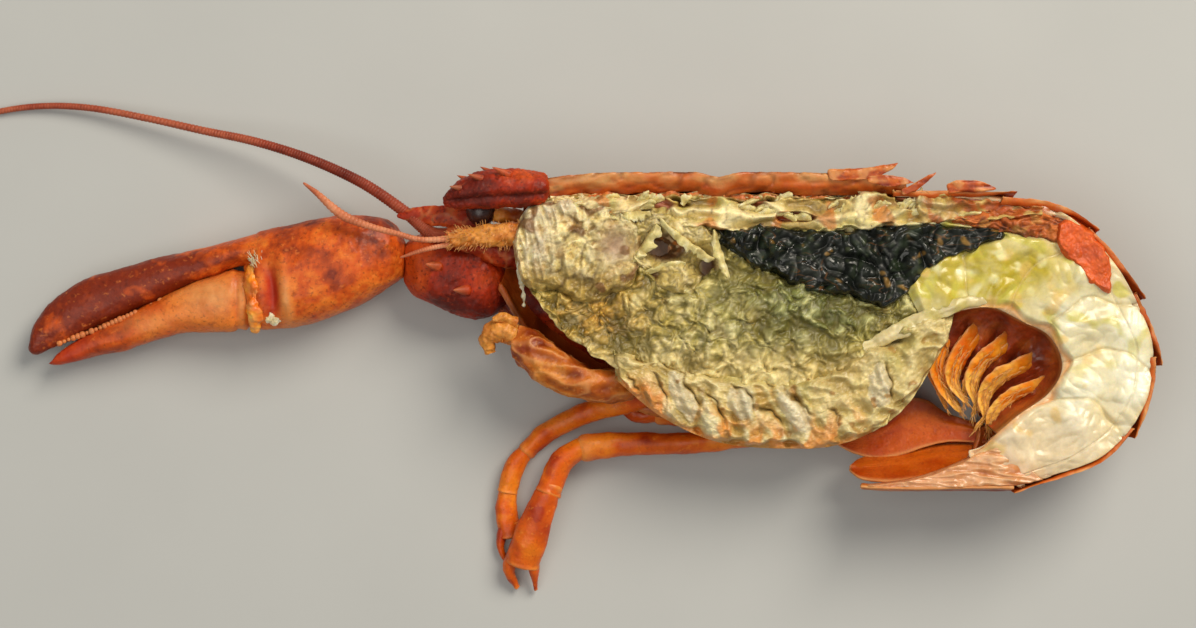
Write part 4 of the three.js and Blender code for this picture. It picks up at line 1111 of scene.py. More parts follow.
def leg_muscle():
    """The muscle that moves the legs: folds that spread to one slanted lobe for each leg's root."""
    made = patch(*LEG_RAILS, 330, 160, drop=2.4, rim=1.6, crown=0.6, ragged=1.2)
    p = made.points
    x, y = p[:, 0], p[:, 1]
    top = made["top"]
    low = smooth(made["sideways"], 0.35, 0.95)
    lobe, grey, slit = np.zeros(len(x)), np.zeros(len(x)), np.zeros(len(x))
    stray_x = 1.5 * noise(p, 4.5, 51) + 0.5 * noise(p, 1.8, 53)
    stray_y = 1.5 * noise(p, 4.5, 52) + 0.5 * noise(p, 1.8, 54)
    for cx, cy, long, wide, turn, pale in LOBES:
        c, s = math.cos(math.radians(turn)), math.sin(math.radians(turn))
        east, north = x - cx + stray_x, y - cy + stray_y
        ahead = (east * c + north * s) / long
        aside = (north * c - east * s) / wide
        far = ahead**2 + aside**2
        dome = np.sqrt(clamp(1 - far))
        lobe = np.maximum(lobe, dome)
        grey = np.maximum(grey, pale * smooth(dome, 0.1, 0.6))
        ring = bell((far - 1.2) / 0.25) * smooth(aside, 0, 0.9) * smooth(0.9 - ahead, 0, 0.8)
        slit = np.maximum(slit, ring)
    slanted = pack(x * 0.5 + y * 0.25, y * 0.8 - x * 0.15, 0 * x) + 0.6 * noise(p, 7, 9)[:, None]
    folds = smooth(creases(slanted, 3, 6), 0.4, 1)
    stripy = smooth(-y, 15, 20) * (1 - smooth(x, 52, 62)) * (1 - smooth(8 - x, 0, 6))
    lines = pack(0.9 * x + 0.42 * y + 1.2 * noise(p, 6, 61), 0.1 * (0.42 * x - 0.9 * y), 0 * x)
    ribs = noise(lines, 1.9, 5) * np.maximum(stripy, smooth(lobe, 0.2, 0.6))
    shaded_hole = hill(x, y, 72.6, -6.2, 4.6, 1.1)
    grit, luck = grains(p, 1.4, 3)
    relief = 1.2 * folds * (1 - 0.6 * smooth(lobe, 0, 0.4)) + 1.4 * lobe + 0.8 * rough(p, 4, 4, 0.6)
    made.lift(top * (relief + 1.1 * ribs + 0.12 * grit * luck - 1.1 * slit - 0.6 * low - 3.4 * shaded_hole - 0.7))
    edge = smooth(made["sideways"], 0.88, 0.98)
    tint = edge + low * spots(p, 4.4, 8, -0.15, 0.2) + 0.8 * hill(x, y, 13, -22, 4, 6)
    orange = clamp(tint) * (1 - smooth(x, 60, 72)) * (1 - 0.8 * grey)
    return made.paint(
        (0.6, 0.46, 0.17),
        (0.75 * folds, 0.74, 0.62, 0.31),
        (0.6 * spots(p, 8, 3, 0, 0.5) * (1 - low), 0.44, 0.38, 0.1),
        (0.5 * smooth(lobe, 0.1, 0.6), 0.7, 0.58, 0.3),
        (0.7 * stripy * smooth(ribs, 0.05, 0.35), 0.72, 0.64, 0.4),
        (0.8 * stripy * smooth(-ribs, 0.1, 0.4), 0.5, 0.3, 0.07),
        (0.75 * grey, 0.6, 0.52, 0.34),
        (0.6 * grey * smooth(ribs, 0, 0.4), 0.76, 0.68, 0.48),
        (0.85 * orange, 0.7, 0.24, 0.03),
        (0.8 * spots(p, 2.6, 18, 0.5, 0.62), 0.36, 0.17, 0.04),
        # painted shade in the valleys between the folds
        (0.55 * (1 - folds) * (1 - smooth(lobe, 0, 0.3)), 0.36, 0.24, 0.06),
        # painted shade in the slits round the lobes
        (0.75 * slit, 0.18, 0.1, 0.022),
        (0.3 * luck * grit, 0.4, 0.3, 0.1),
        # painted shade, nearly black, down in the hole
        (shaded_hole, 0.09, 0.05, 0.014),
    )


NERVE = [
    (64, -9.6, 24.4, 1.6, 1), (71, -6.2, 25.9, 3.4, 1.8), (80, -1.8, 26.9, 4.6, 2), (90, 2.2, 27, 3.6, 1.8),
    (102, 4.4, 25.4, 1.2, 0.9),
]


def nerve_band():
    """The pale band that runs from the chest into the tail."""
    made = limb(NERVE, 160, 30, 0.1, 0.1)
    p = made.points
    x, y = p[:, 0], p[:, 1]
    ribs = noise(pack(x * 0.2, y - 0.45 * x, 0 * x), 1.2, 4)
    made.push(0.7 * rough(p, 5, 3) + 0.2 * ribs - 0.1)
    return made.paint(
        (0.66, 0.55, 0.28),
        (0.6 * smooth(ribs, 0.1, 0.6), 0.8, 0.7, 0.44),
        (0.7 * spots(p, 6, 6, 0, 0.5), 0.5, 0.42, 0.1),
    )


def telson_flesh():
    """The thin end of the tail's flesh that runs out along the middle leaf of the fan."""
    made = patch(
        [(100, -32.6), (96, -34.4), (90, -37.4), (80, -41), (72, -42.4), (67, -42.8)],
        [(112, -41.6), (104, -43.1), (96, -43.3), (86, -43.4), (76, -43.3), (67, -43.3)],
        260, 60, crown=0.9, rim=0.35, ragged=0.3,
    )
    p = made.points
    x, y = p[:, 0], p[:, 1]
    rays = creases(pack(x * 0.3 + y * 0.3, y * 1.3, 0 * x), 2, 4)
    made.lift(made["top"] * (0.8 * rays + 0.6 * rough(p, 5, 3, seed=3) - 0.8))
    return made.paint(
        (0.62, 0.27, 0.1),
        (0.6 * smooth(rays, 0.6, 1), 0.8, 0.52, 0.3),
        (0.75 * spots(p, 5, 5, 0, 0.5), 0.62, 0.24, 0.07),
        (0.9 * (1 - smooth(made["sideways"], 0, 0.12)), 0.74, 0.36, 0.15),
        (0.8 * smooth(100 - x, 0, 20), 0.72, 0.36, 0.18),
        (0.7 * smooth(1 - rays, 0.4, 0.8), 0.45, 0.13, 0.04),
    )


def curl_lining():
    """The thin red skin of the tail's underside, which slopes down inside the curl."""
    t, v = shares(260), shares(60)
    table = np.asarray(TAIL_FLESH, float)
    rim = spline(table[:, 2:4], 0.03 + 0.9 * t)
    focus = np.array([96.0, -24.0])
    pull = 0.86 * smooth(v, 0, 1.2)[None, :, None]
    flat = rim[:, None] + (focus - rim)[:, None] * pull
    ribs = np.abs(np.sin(math.pi * (t * 6 + 0.15)))[:, None]
    height = 26.4 - 19 * v[None] ** 0.55 + 2.2 * np.sin(math.pi * v)[None] * ribs
    surface = np.concatenate([flat, height[..., None]], -1)
    under = surface[:, ::-6] - [0, 0, 0.6]
    made = tube(np.concatenate([surface, under], 1))
    p = made.points
    made.lift(0.5 * rough(p, 3, 3, seed=8))
    return made.paint(
        (0.32, 0.045, 0.007),
        (0.7 * spots(p, 5, 3, 0, 0.5), 0.5, 0.12, 0.015),
        (0.7 * spots(p, 6, 5, 0, 0.5), 0.12, 0.015, 0.006),
        (0.8 * smooth(p[:, 2], 21, 26), 0.66, 0.3, 0.09),
    )


# Limbs: upper x, y, lower x, y, low z, high z of the claw's flat parts
PALM = [
    (-48.4, 17.6, -48.8, 10, 5, 14), (-52.5, 23.4, -52.5, 7, 2, 18), (-60, 25.3, -60, 2.6, 0, 20.5),
    (-70, 24.5, -70, -1.6, -0.3, 21), (-80, 22.6, -80, -3.8, -0.3, 20), (-86.5, 21, -86.5, -3.9, 1, 17.5),
    (-88.5, 19.5, -88.2, -1.5, 4, 14),
]
FIXED_FINGER = [
    (-82, 22, -82, 8, 0, 17), (-90, 19.9, -90, 12.4, 0.5, 15.5), (-100, 17.4, -100, 9.2, 1, 13.5),
    (-112, 14.6, -112, 4.8, 1.3, 12), (-122, 12, -122, 0.2, 1.5, 11.5), (-132, 8.6, -132, -4.4, 1.8, 10.5),
    (-140, 3.4, -140, -8.4, 2.4, 9.4), (-144.6, -3, -144, -9.8, 3.4, 8.4), (-146, -8, -145.6, -9.8, 5, 7),
]
MOVING_FINGER = [
    (-88.8, 9.6, -88.6, -3.4, 4, 14), (-92, 11.2, -92, -4.6, 2.4, 15.6), (-98, 9.4, -98, -4.7, 2, 15),
    (-106, 6.2, -106, -5.1, 1.8, 13.6), (-113, 2.8, -113, -6.8, 1.8, 12.4), (-121, -1.2, -121, -9.3, 2, 11.2),
    (-130, -5.2, -130, -11.3, 2.5, 9.8), (-137, -9.4, -137, -12.9, 3.2, 8.4), (-140.3, -12.4, -140.3, -13.2, 4.6, 7),
]
CARPUS = [
    (-49.6, 17.5, -49.8, 8.4, 5, 14), (-46, 20.4, -45.4, 3.6, 2.6, 18), (-38, 21.6, -38, 0.6, 0.4, 20),
    (-30.5, 20, -31.5, -1.4, 0, 19.5), (-24, 14, -26, 0, 1.6, 17), (-20.5, 9, -21.5, 4, 5, 12),
]
MERUS = [
    (-24.5, 7.4, 8.6, 9, 10), (-18, 4.4, 7.2, 12.5, 13.6), (-8, -1.6, 6.4, 12, 12.4), (0, -7.5, 6, 10, 10.4),
    (4, -11, 6.6, 7.6, 8.6),
]
ISCHIUM = [(3.4, -10.4, 6.8, 7.2, 8), (9, -14.4, 8, 8.4, 8.6), (14, -17.5, 12, 7.6, 9), (18, -19, 17, 6.4, 7.6)]


def teeth(line, count, radius, seed):
    """Blunt pale teeth along the edge where the two fingers close."""
    luck = np.random.default_rng(seed).random(count)
    places = spline(line, np.linspace(0, 1, count))
    made = [ball(p, radius * (0.7 + 0.5 * r), 0.9, 10, 12) for p, r in zip(places, luck)]
    return joined(*made).mark(tip=0.5, tone=0.7)


def closed(table, column, shift):
    """A finger's table with one edge moved towards the other finger, least near its ends."""
    table = np.array(table, float)
    table[:, column] += shift * np.sin(math.pi * np.linspace(0.05, 0.95, len(table)))
    return table


def claw_palm():
    palm = slab(PALM, 160, 150, 0.8)
    finger = slab(closed(FIXED_FINGER, 3, -0.9), 200, 110, 0.9, 0.02, 0.08)
    made = joined(palm, finger)
    p = made.points
    x, y = p[:, 0], p[:, 1]
    pits, _ = grains(p, 1.7, 2)
    slant = x + 0.1 * (y - 5)
    slit = hill(slant, y, -82.6, 5.6, 1.7, 5.8) * smooth(p[:, 2], 8, 14)
    collar = hill(slant, y, -78.8, 5, 1.5, 8.5)
    bumps = rough(p, 4.5, 3, seed=12)
    made.push(0.35 * rough(p, 12, 2, seed=2) - 0.12 + 0.09 * pits + 0.16 * bumps + 0.7 * collar - 2.0 * slit)
    tone = 0.5 + 0.16 * noise(p, 11, 4) + 0.3 * rough(p, 3, 3, 0.7, 41) + 0.3 * bumps
    tone = tone - 0.8 * smooth(-x, 90, 108) + 0.5 * hill(slant, y, -78.8, 4, 2.4, 7) - 0.3 * smooth(y, 17, 24)
    tone = tone + 0.3 * smooth(-y, -4, 4) - 0.4 * smooth(-x, 136, 145)
    tone = tone + 0.5 * spots(p * [0.3, 1.2, 1], 4, 31, 0, 0.5) * smooth(-x, 90, 104) * smooth(x, -136, -124)
    edge = 0.7 * hill(slant, y, -78.8, 4, 1.4, 6)
    # The sunk slit is painted with the inner deep red, its own colour, and darkened at its bottom through depth as
    # painted shade.
    made.mark(tone=tone, inner=clamp(1.4 * slit), edge=edge, depth=0.3 * slit**3)
    rows = teeth([(-96, 10.5, 8), (-110, 5.6, 7.5), (-124, -0.6, 7), (-138, -7.4, 6.5)], 22, 0.8, 3)
    front = teeth([(-118, 0.4, 9.8), (-127, -3.5, 9.2), (-137.6, -7.4, 7.8)], 19, 0.75, 6)
    return joined(made.on_table(), rows, front.mark(edge=0.25, tip=0.3))


HINGE = [(-87.8, 12.8, 11, 4, 9), (-87.2, 8, 11.4, 6.4, 13.4), (-87, 2, 11, 6.6, 13.4), (-87, -3.4, 9, 4.4, 9)]
KNOB = [(-84.4, -0.4, 15.4, 1.6, 1.6), (-82.6, -1, 15.6, 3.2, 2.6), (-80.4, -1.4, 14.6, 1.6, 1.6)]
TUFT = [(-88.6, 15, 14.2, 1.4, 1.4), (-86.4, 13, 15.4, 3.2, 2.6), (-85.2, 10.4, 15, 1.4, 1.4)]


def claw_hinge():
    """The soft orange skin between the palm and the moving finger."""
    skin = knobbly(HINGE, 6, 120, 70, 0.9, 3.4, 1)
    p = skin.points
    return skin.mark(tone=0.35 + 0.6 * noise(p, 3, 3), edge=0.25 + 0.5 * noise(p, 2.2, 3), depth=0)


def claw_tendons():
    """White ends of tendon that show at both ends of the hinge."""
    made = joined(limb(KNOB, 60, 30), limb(TUFT, 60, 30))
    made.push(0.8 * rough(made.points, 1.6, 3, seed=3) - 0.1)
    luck = np.random.default_rng(8)
    places = [np.array([-86.4, 13, 16.4]) + luck.normal(0, 0.7, 3) for _ in range(24)]
    made = joined(made, bristles(places, [(-0.3, 0.7, 0.6)] * len(places), 2.2, 4, 0.12))
    return made.paint((0.76, 0.62, 0.36), (0.7 * spots(made.points, 1.6, 3, 0, 0.4), 0.86, 0.8, 0.6))


def claw_moving_finger():
    made = slab(closed(MOVING_FINGER, 1, 0.8), 220, 130, 0.8, 0.05, 0.08)
    p = made.points
    x, y = p[:, 0], p[:, 1]
    pits, _ = grains(p, 1.5, 5)
    rib = 0.5 * bell((made["around"] - 0.25) * 12) * smooth(-x, 92, 100)
    bumps = rough(p, 4, 3, seed=22)
    pinch = hill(x, y, -91.6, 3, 1.1, 12) - 0.6 * hill(x, y, -89, 3, 1.2, 12)
    made.push(0.3 * rough(p, 9, 2, seed=6) - 0.1 + 0.07 * pits + 0.12 * bumps + rib * 0.6 - 0.9 * pinch)
    tone = 0.95 - 0.45 * smooth(-x, 102, 122) - 0.3 * smooth(-x, 126, 138)
    tone = tone + 0.2 * noise(p, 8, 7) + 0.3 * bumps - 0.5 * pinch
    pink = clamp(hill(x, y, -98, 5, 9, 5) + 0.5 * hill(x, y, -116, -2, 10, 3)) * smooth(p[:, 2], 8, 13)
    made.mark(tone=tone, edge=0.75 * pink + 0.3 * smooth(x, -92, -89), inner=0.6 * smooth(-x, 124, 137))
    rows = teeth([(-97, 9.2, 9.5), (-106, 6, 9.5), (-120, -1, 9), (-136, -9, 7)], 20, 0.75, 5)
    return joined(made.on_table(), rows)


def claw_carpus():
    made = slab(CARPUS, 120, 130, 0.8)
    p = made.points
    warts, _ = grains(p, 1.5, 6)
    rear = smooth(p[:, 0], -45, -41)
    made.push(0.5 * rough(p, 7, 3, seed=3) - 0.2 + rear * 0.24 * warts)
    # depth: painted shade in the hollows between the warts at the rear
    made.mark(tone=0.75 - 0.4 * rear + 0.2 * noise(p, 6, 2), depth=0.4 * rear * bell(warts * 4))
    spines = [
        spine((-42, 19.6, 14), (-46.5, 23.2, 15), 1.8),
        spine((-34, 20.4, 15), (-38, 23.4, 16.4), 1.6),
        spine((-40, 12, 18.6), (-43.5, 12.6, 21.4), 1.6),
        spine((-33, 6, 18.4), (-36.5, 6, 21.4), 1.6),
    ]
    return joined(made.on_table(), *spines)


def claw_merus():
    made = limb(MERUS, 90, 60, 0.06, 0.06)
    p = made.points
    warts, _ = grains(p, 1.6, 8)
    made.push(0.3 * rough(p, 6, 3, seed=4) + 0.15 * warts - 0.15)
    made.mark(tone=0.35 + 0.2 * noise(p, 6, 3))
    return joined(made.on_table(), spine((-20, 0, 7.5), (-29.5, 2.4, 9), 2))


LEGS = {  # stations of x, y, z, width, height of the upper part, the lower part, the hand and its fingers
    "leg_2": (
        [(15, -19, 15, 6, 7), (8, -22.6, 9.5, 5.6, 6), (-2, -25, 5.6, 6, 5.6), (-13, -30.4, 3.6, 5.8, 5.4),
         (-18.4, -35.2, 3.2, 5, 5)],
        [(-18.2, -35, 3.2, 4.6, 4.6), (-21.6, -39.6, 3, 5.8, 5.2), (-23, -44.8, 2.6, 5.2, 4.6)],
        [(-23, -44.6, 2.5, 4.8, 4.4), (-23.6, -50, 2.3, 6, 4.4), (-22.6, -56, 2.1, 6.4, 4)],
        [(-24, -54, 2, 3.2, 3.4), (-25, -60, 1.8, 2.6, 2.6), (-23, -65, 1.2, 0.9, 1)],
        [(-21.4, -54, 2, 3.2, 3.4), (-20.6, -60, 1.8, 2.2, 2.4), (-21.6, -64.6, 1.2, 0.9, 1)],
    ),
    "leg_3": (
        [(50, -27, 16, 6.4, 7), (46.5, -30.2, 11.5, 6, 6.4), (36, -31.8, 9, 5.4, 5.6), (24, -33, 8.2, 5.8, 6),
         (8, -33.2, 7.8, 6.6, 6.4), (-4, -34.2, 8, 7.4, 6.6)],
        [(-4, -34.2, 8, 5.6, 5.6), (-9, -37.4, 8.2, 6.6, 6.4), (-12.2, -44.6, 8.4, 7, 6)],
        [(-12.2, -44.4, 8.4, 6, 5.6), (-14.6, -50, 8.4, 8, 5.8), (-17.6, -58, 6.6, 9.4, 5.8),
         (-19, -62.6, 5, 9, 5.4)],
        [(-21, -61, 4.8, 4.4, 4.6), (-22.8, -65.6, 3.6, 3.8, 3.8), (-20.8, -70.4, 1.6, 1.2, 1.4)],
        [(-17, -61, 4.8, 4.2, 4.6), (-16.4, -66, 3.6, 3.2, 3.6), (-16, -71, 1.4, 1, 1.2)],
    ),
    "leg_4": (
        [(43, -26, 13, 5.6, 6), (42, -28.4, 8, 5, 5.2), (36, -28, 3.6, 5, 5), (26, -27, 2.6, 5, 5),
         (15, -26, 2.5, 4.6, 4.8)],
        [(15, -26, 2.5, 4, 4.2), (9.6, -25.6, 2.4, 4.6, 4.6), (6.6, -22.6, 2.3, 4, 4)],
        [(6.8, -22.4, 2.3, 3.6, 3.6), (14, -20.8, 2.1, 4, 3.8), (25, -20.6, 1.9, 3, 3)],
        [(24, -20.6, 1.9, 2.4, 2.4), (31, -20.6, 1.4, 1.6, 1.6), (36, -20, 0.8, 0.6, 0.8)],
    ),
    "leg_5": (
        [(57, -26, 13, 5.6, 6), (59, -29.4, 8, 5, 5.2), (64, -31, 3.8, 5, 5), (74, -32.4, 2.6, 5, 5),
         (83, -33.4, 2.4, 4.6, 4.6)],
        [(83, -33.4, 2.4, 4, 4.2), (88, -33.8, 2.3, 4.4, 4.4), (92, -33.4, 2.2, 3.8, 3.8)],
        [(91.8, -33.4, 2.1, 3.4, 3.6), (97, -31.8, 2, 3.8, 3.6), (104, -28.4, 1.8, 3, 2.8)],
        [(103.6, -28.6, 1.7, 2.4, 2.4), (107.6, -25.6, 1.3, 1.6, 1.6), (109, -21.6, 0.8, 0.6, 0.8)],
    ),
}


def leg_part(stations, seed, sides=36):
    """One length of a walking leg: a smooth shell with a faint ridge and a paler swollen joint at each end."""
    rows = np.array(stations, float)
    for end, next_one in ((0, 1), (-1, -2)):
        rows[end, :3] += unit(rows[end, :3] - rows[next_one, :3]) * 0.3 * rows[end, 3]
    made = limb(rows, 90, sides, 0.05, 0.05)
    p = made.points
    t = made["along"]
    ridge = 0.35 * bell((made["around"] - 0.3) * 11)
    dents = 0.28 * rough(p, 5, 3, seed=seed)
    collar = 0.22 * bell((t - 0.04) * 30) + 0.22 * bell((t - 0.96) * 30)
    made.push(ridge * 0.5 + dents + collar - 0.25)
    joint = bell(t * 16) + bell((1 - t) * 16)
    tone = 0.5 + 0.3 * noise(p, 7, seed) + 0.4 * joint
    under = spots(p, 5, seed + 40, 0.1, 0.5) * smooth(made["around"], 0.1, 0.3)
    return made.mark(tone=tone - 0.3 * under, edge=0.4 * joint).on_table()


def bristles(places, directions, length, seed, radius=0.11):
    """Short stiff hairs from places in given directions."""
    luck = np.random.default_rng(seed)
    lines = []
    for place, direction in zip(places, directions):
        lean = np.asarray(direction, float) + luck.normal(0, 0.22, 3)
        lean *= length * (0.6 + 0.7 * luck.random()) / np.linalg.norm(lean)
        lean[2] = max(lean[2], 0.3 - place[2])
        lines.append([place, place + 0.5 * lean + luck.normal(0, 0.08, 3), place + lean])
    return threads(lines, radius, 4)


# Front of the head: stations of x, y, z, width across, height
ANTENNA = [
    (-38, 19.6, 18, 4.6), (-42, 20.4, 18, 3.6), (-48.8, 25.8, 17, 3.1), (-58.5, 32.5, 15, 2.9),
    (-67.7, 37.1, 13, 2.7), (-77.6, 41, 10.6, 2.5), (-89, 44.4, 8, 2.3), (-100.4, 46.8, 6, 2.1),
    (-115.6, 50.2, 4, 1.9), (-131, 53, 2.6, 1.8), (-142.5, 53.5, 1.7, 1.7), (-153.8, 52.2, 1.1, 1.6),
    (-172, 47, 0.7, 1.4), (-190, 38.6, 0.55, 1.2), (-206, 27, 0.45, 1), (-218, 12, 0.4, 0.8),
]
OUTER_FEELER = [
    (-37, 18.9, 24.4, 1.7, 1.6), (-44.7, 18.7, 24.2, 1.5, 1.4), (-50.5, 20.2, 23.8, 1.5, 1.4),
    (-57.2, 22, 23.4, 1.7, 1.5), (-64.3, 24.9, 22.8, 2.4, 1.8), (-71, 30.6, 21.6, 1.5, 1.3),
    (-74.3, 33.1, 21, 0.6, 0.6),
]
INNER_FEELER = [(-36, 17.8, 24, 1.4, 1.3), (-43.4, 16.2, 23.8, 1.2, 1.1), (-49.7, 14.2, 22.6, 0.6, 0.6)]


def ringed(count, depth=0.07):
    """Fine rings along a feeler."""
    return lambda t: 1 - depth * np.abs(np.sin(math.pi * count * t)) ** 8


def antenna():
    table = np.array(ANTENNA)
    stations = np.column_stack([table, table[:, 3]])
    made = limb(stations, 1500, 14, 0.004, 0.004, ringed(230, 0.12))
    p = made.points
    return made.mark(tone=0.45 + 0.25 * noise(p, 9, 2) + 0.3 * smooth(-p[:, 0], 60, 160)).on_table()


def feeler(stations, count):
    made = limb(stations, 360, 12, 0.01, 0.02, ringed(count, 0.14))
    return made.mark(tone=0.5 + 0.3 * noise(made.points, 5, 3))


ROSTRUM = [
    (-12, 31.4, 25.6, 8, 7), (-19, 31.4, 26.6, 10, 9.6), (-26, 31.4, 27, 10.4, 9.6), (-33, 30, 27, 8.6, 8),
    (-37, 28.4, 26.6, 5, 5), (-38.8, 27.4, 26.4, 2, 2),
]
ROSTRUM_SPINES = [
    ((-22, 34.6, 29.6), (-26.4, 36.6, 32)), ((-28, 33.4, 29.4), (-32.4, 34.8, 32)),
    ((-33, 31.2, 28.8), (-37, 31.8, 31)), ((-25, 34.6, 24.5), (-29.6, 37, 23.6)),
    ((-31, 33, 24.6), (-35.4, 34.8, 23.8)),
]
EYE_STALK = [(-15, 23, 17, 5, 5), (-22, 24.6, 18.6, 4.6, 4.6), (-27.5, 25.6, 20, 4.4, 4.4)]
FEELER_BASE = [(-14, 20, 23, 6, 6), (-24, 20, 23.6, 6.4, 5.6), (-32, 19.2, 24, 5.4, 4.6), (-38, 18.6, 24.2, 3.6, 3)]
ANTENNA_BASE = [(-16, 15, 16, 9, 9), (-25, 16.6, 17.4, 9, 8.4), (-33, 19, 18, 7.6, 7), (-39, 20, 18, 5.4, 5.4)]
ANTENNA_SCALE = [
    (-27, 22.4, 18.6, 4.6, 3), (-37, 24.6, 18.6, 6, 2.2), (-45.6, 25, 18.2, 4.4, 1.8), (-51, 25, 18, 1.2, 1),
]
MOUTH_TIP = [
    (-20.6, -5.4, 21.6, 6, 5.6), (-24.4, -4, 22.4, 6.4, 6), (-27.6, -6.4, 21.8, 5, 5), (-27, -10, 20.6, 2.6, 3),
]
MOUTH_PALP = [(-20.4, -2.2, 23, 3, 3), (-24, -0.8, 24.6, 2.6, 2.6), (-26.6, -1.6, 25, 1.2, 1.4)]
FAN_ROOT = [(107, -36, 13, 7, 9), (103, -35.4, 12.6, 7, 9), (98.6, -34.4, 12, 5, 7)]
STRIP = [(-19.4, 17, 27.6, 1, 0.7), (-19.8, 12, 26.8, 1.3, 0.5), (-18.8, 6, 24.6, 1, 0.5), (-18.6, 2, 22, 0.4, 0.3)]


def rostrum():
    made = limb(ROSTRUM, 120, 70, 0.05, 0.08)
    p = made.points
    warts, _ = grains(p, 1.3, 4)
    furrow = bell((p[:, 1] - 28.6 - 0.06 * (p[:, 0] + 26)) / 1.1) * smooth(p[:, 2], 27, 30)
    made.push(0.35 * rough(p, 4, 3, seed=2) + 0.25 * warts - 0.35 - 1.1 * furrow)
    # Painted shade: the furrow is painted darker, through both depth and tone, and so are the hollows between the
    # warts.
    depth = clamp(0.5 * furrow + 0.4 * bell(warts * 4))
    made.mark(tone=0.4 + 0.3 * noise(p, 5, 3) - 0.2 * furrow, depth=depth)
    return joined(made, *[spine(a, b, 1.2) for a, b in ROSTRUM_SPINES])


def knobbly(stations, seed, rings=80, sides=44, amount=0.4, size=3.0, tone=0.55, **ends):
    """A lumpy limb of the mouth or head."""
    made = limb(stations, rings, sides, **ends)
    p = made.points
    folds = creases(p, size * 1.3, seed + 2)
    made.push(amount * rough(p, size, 3, seed=seed) + 0.4 * amount * (folds - 0.7) - 0.4 * amount)
    # depth: painted shade in the valleys between the folds
    depth = 0.5 * clamp(0.9 - folds)
    return made.mark(tone=tone + 0.35 * noise(p, 4, seed), edge=0.25 * smooth(folds, 0.8, 1), depth=depth).on_table()


def furry(made, count):
    """Adds short pale hairs that stand on a piece's upper side."""
    p = made.points
    luck = np.random.default_rng(12)
    high = np.flatnonzero(p[:, 2] > np.median(p[:, 2]))
    places = p[luck.choice(high, count)]
    middle = p.mean(0)
    away = unit((places - middle) * [0.1, 1, 0.5]) + [-0.4, 0, 0.3]
    return joined(made, bristles(places - 0.2 * away, away, 1.5, 14, 0.08).mark(edge=0.9, tone=1.0))


MAXILLIPED = [
    (11, -14.6, 10, -21.6, 15, 21), (5, -13.8, 2, -22.4, 14.6, 24), (-2, -13.4, -8, -20.4, 15, 25.6),
    (-9.6, -8.6, -15.6, -17.2, 16, 26), (-16.4, -3.4, -21, -11.6, 17, 25.4), (-20.4, -2.6, -22.4, -8.6, 18.4, 24.4),
]


def maxilliped():
    made = slab(MAXILLIPED, 150, 90)
    p = made.points
    x, y = p[:, 0], p[:, 1]
    folds = creases(pack(0.4 * x - 0.3 * y, x * 0.25 + y, p[:, 2]), 3.4, 3)
    made.push(0.5 * rough(p, 4, 3, seed=5) + 0.8 * (folds - 0.7) - 0.2)
    tone = 0.5 + 0.3 * noise(p, 5, 2) + 0.3 * (folds - 0.7)
    # depth: painted shade in the valleys between the folds
    return made.mark(tone=tone, edge=0.5 * smooth(folds, 0.82, 1), depth=clamp(1 - 1.4 * folds))


SWIMMERETS = [
    [(91, 2.4, 19, 3, 7), (87.6, -5.3, 17.6, 2.2, 10), (85.8, -12.9, 15.6, 2, 10), (88, -19, 13.4, 1.8, 8),
        (91, -25, 12, 1, 4)],
    [(100, 2.6, 19, 3, 7), (93.4, -6.6, 17.6, 2.4, 10), (90.4, -12.1, 16, 2.2, 10), (89.8, -16.6, 14.4, 1.8, 8),
        (92.6, -22.6, 13, 1, 4)],
    [(108, -0.8, 19, 3, 7), (101.2, -8, 17.6, 2.4, 10), (97, -11.8, 16, 2.2, 10), (94.6, -17, 14.4, 1.8, 8),
        (95.2, -23.8, 13, 1, 4)],
    [(115.6, -7.4, 19, 3, 7), (106.4, -13, 17.6, 2.4, 10), (101, -16, 16, 2.2, 9.6), (97.8, -20.6, 14.4, 1.8, 8),
        (97.4, -27, 13, 1, 4)],
    [(118.6, -14.8, 19, 3, 6), (111, -17.6, 17.4, 2.4, 8), (104.4, -20.6, 16, 2.2, 8), (100, -25.2, 14.6, 1.8, 7),
        (97.8, -30.4, 13.4, 1, 4)],
]


BLADES = [  # shift from the leg's line, width as a share of the leg's, turn about its length
    ((0, 0, 0.6), 0.56, 0.9),
    ((2.5, -0.8, -1.6), 0.42, 0.55),
    ((-1.8, -1, -1.2), 0.4, 0.75),
]
SUNK_ROOT = [-5.5, -1, 0, 0, 0]  # added to the height of a blade's stations
SLIM_ROOT = [0.45, 0.85, 1, 1, 1]  # share of their width that is kept


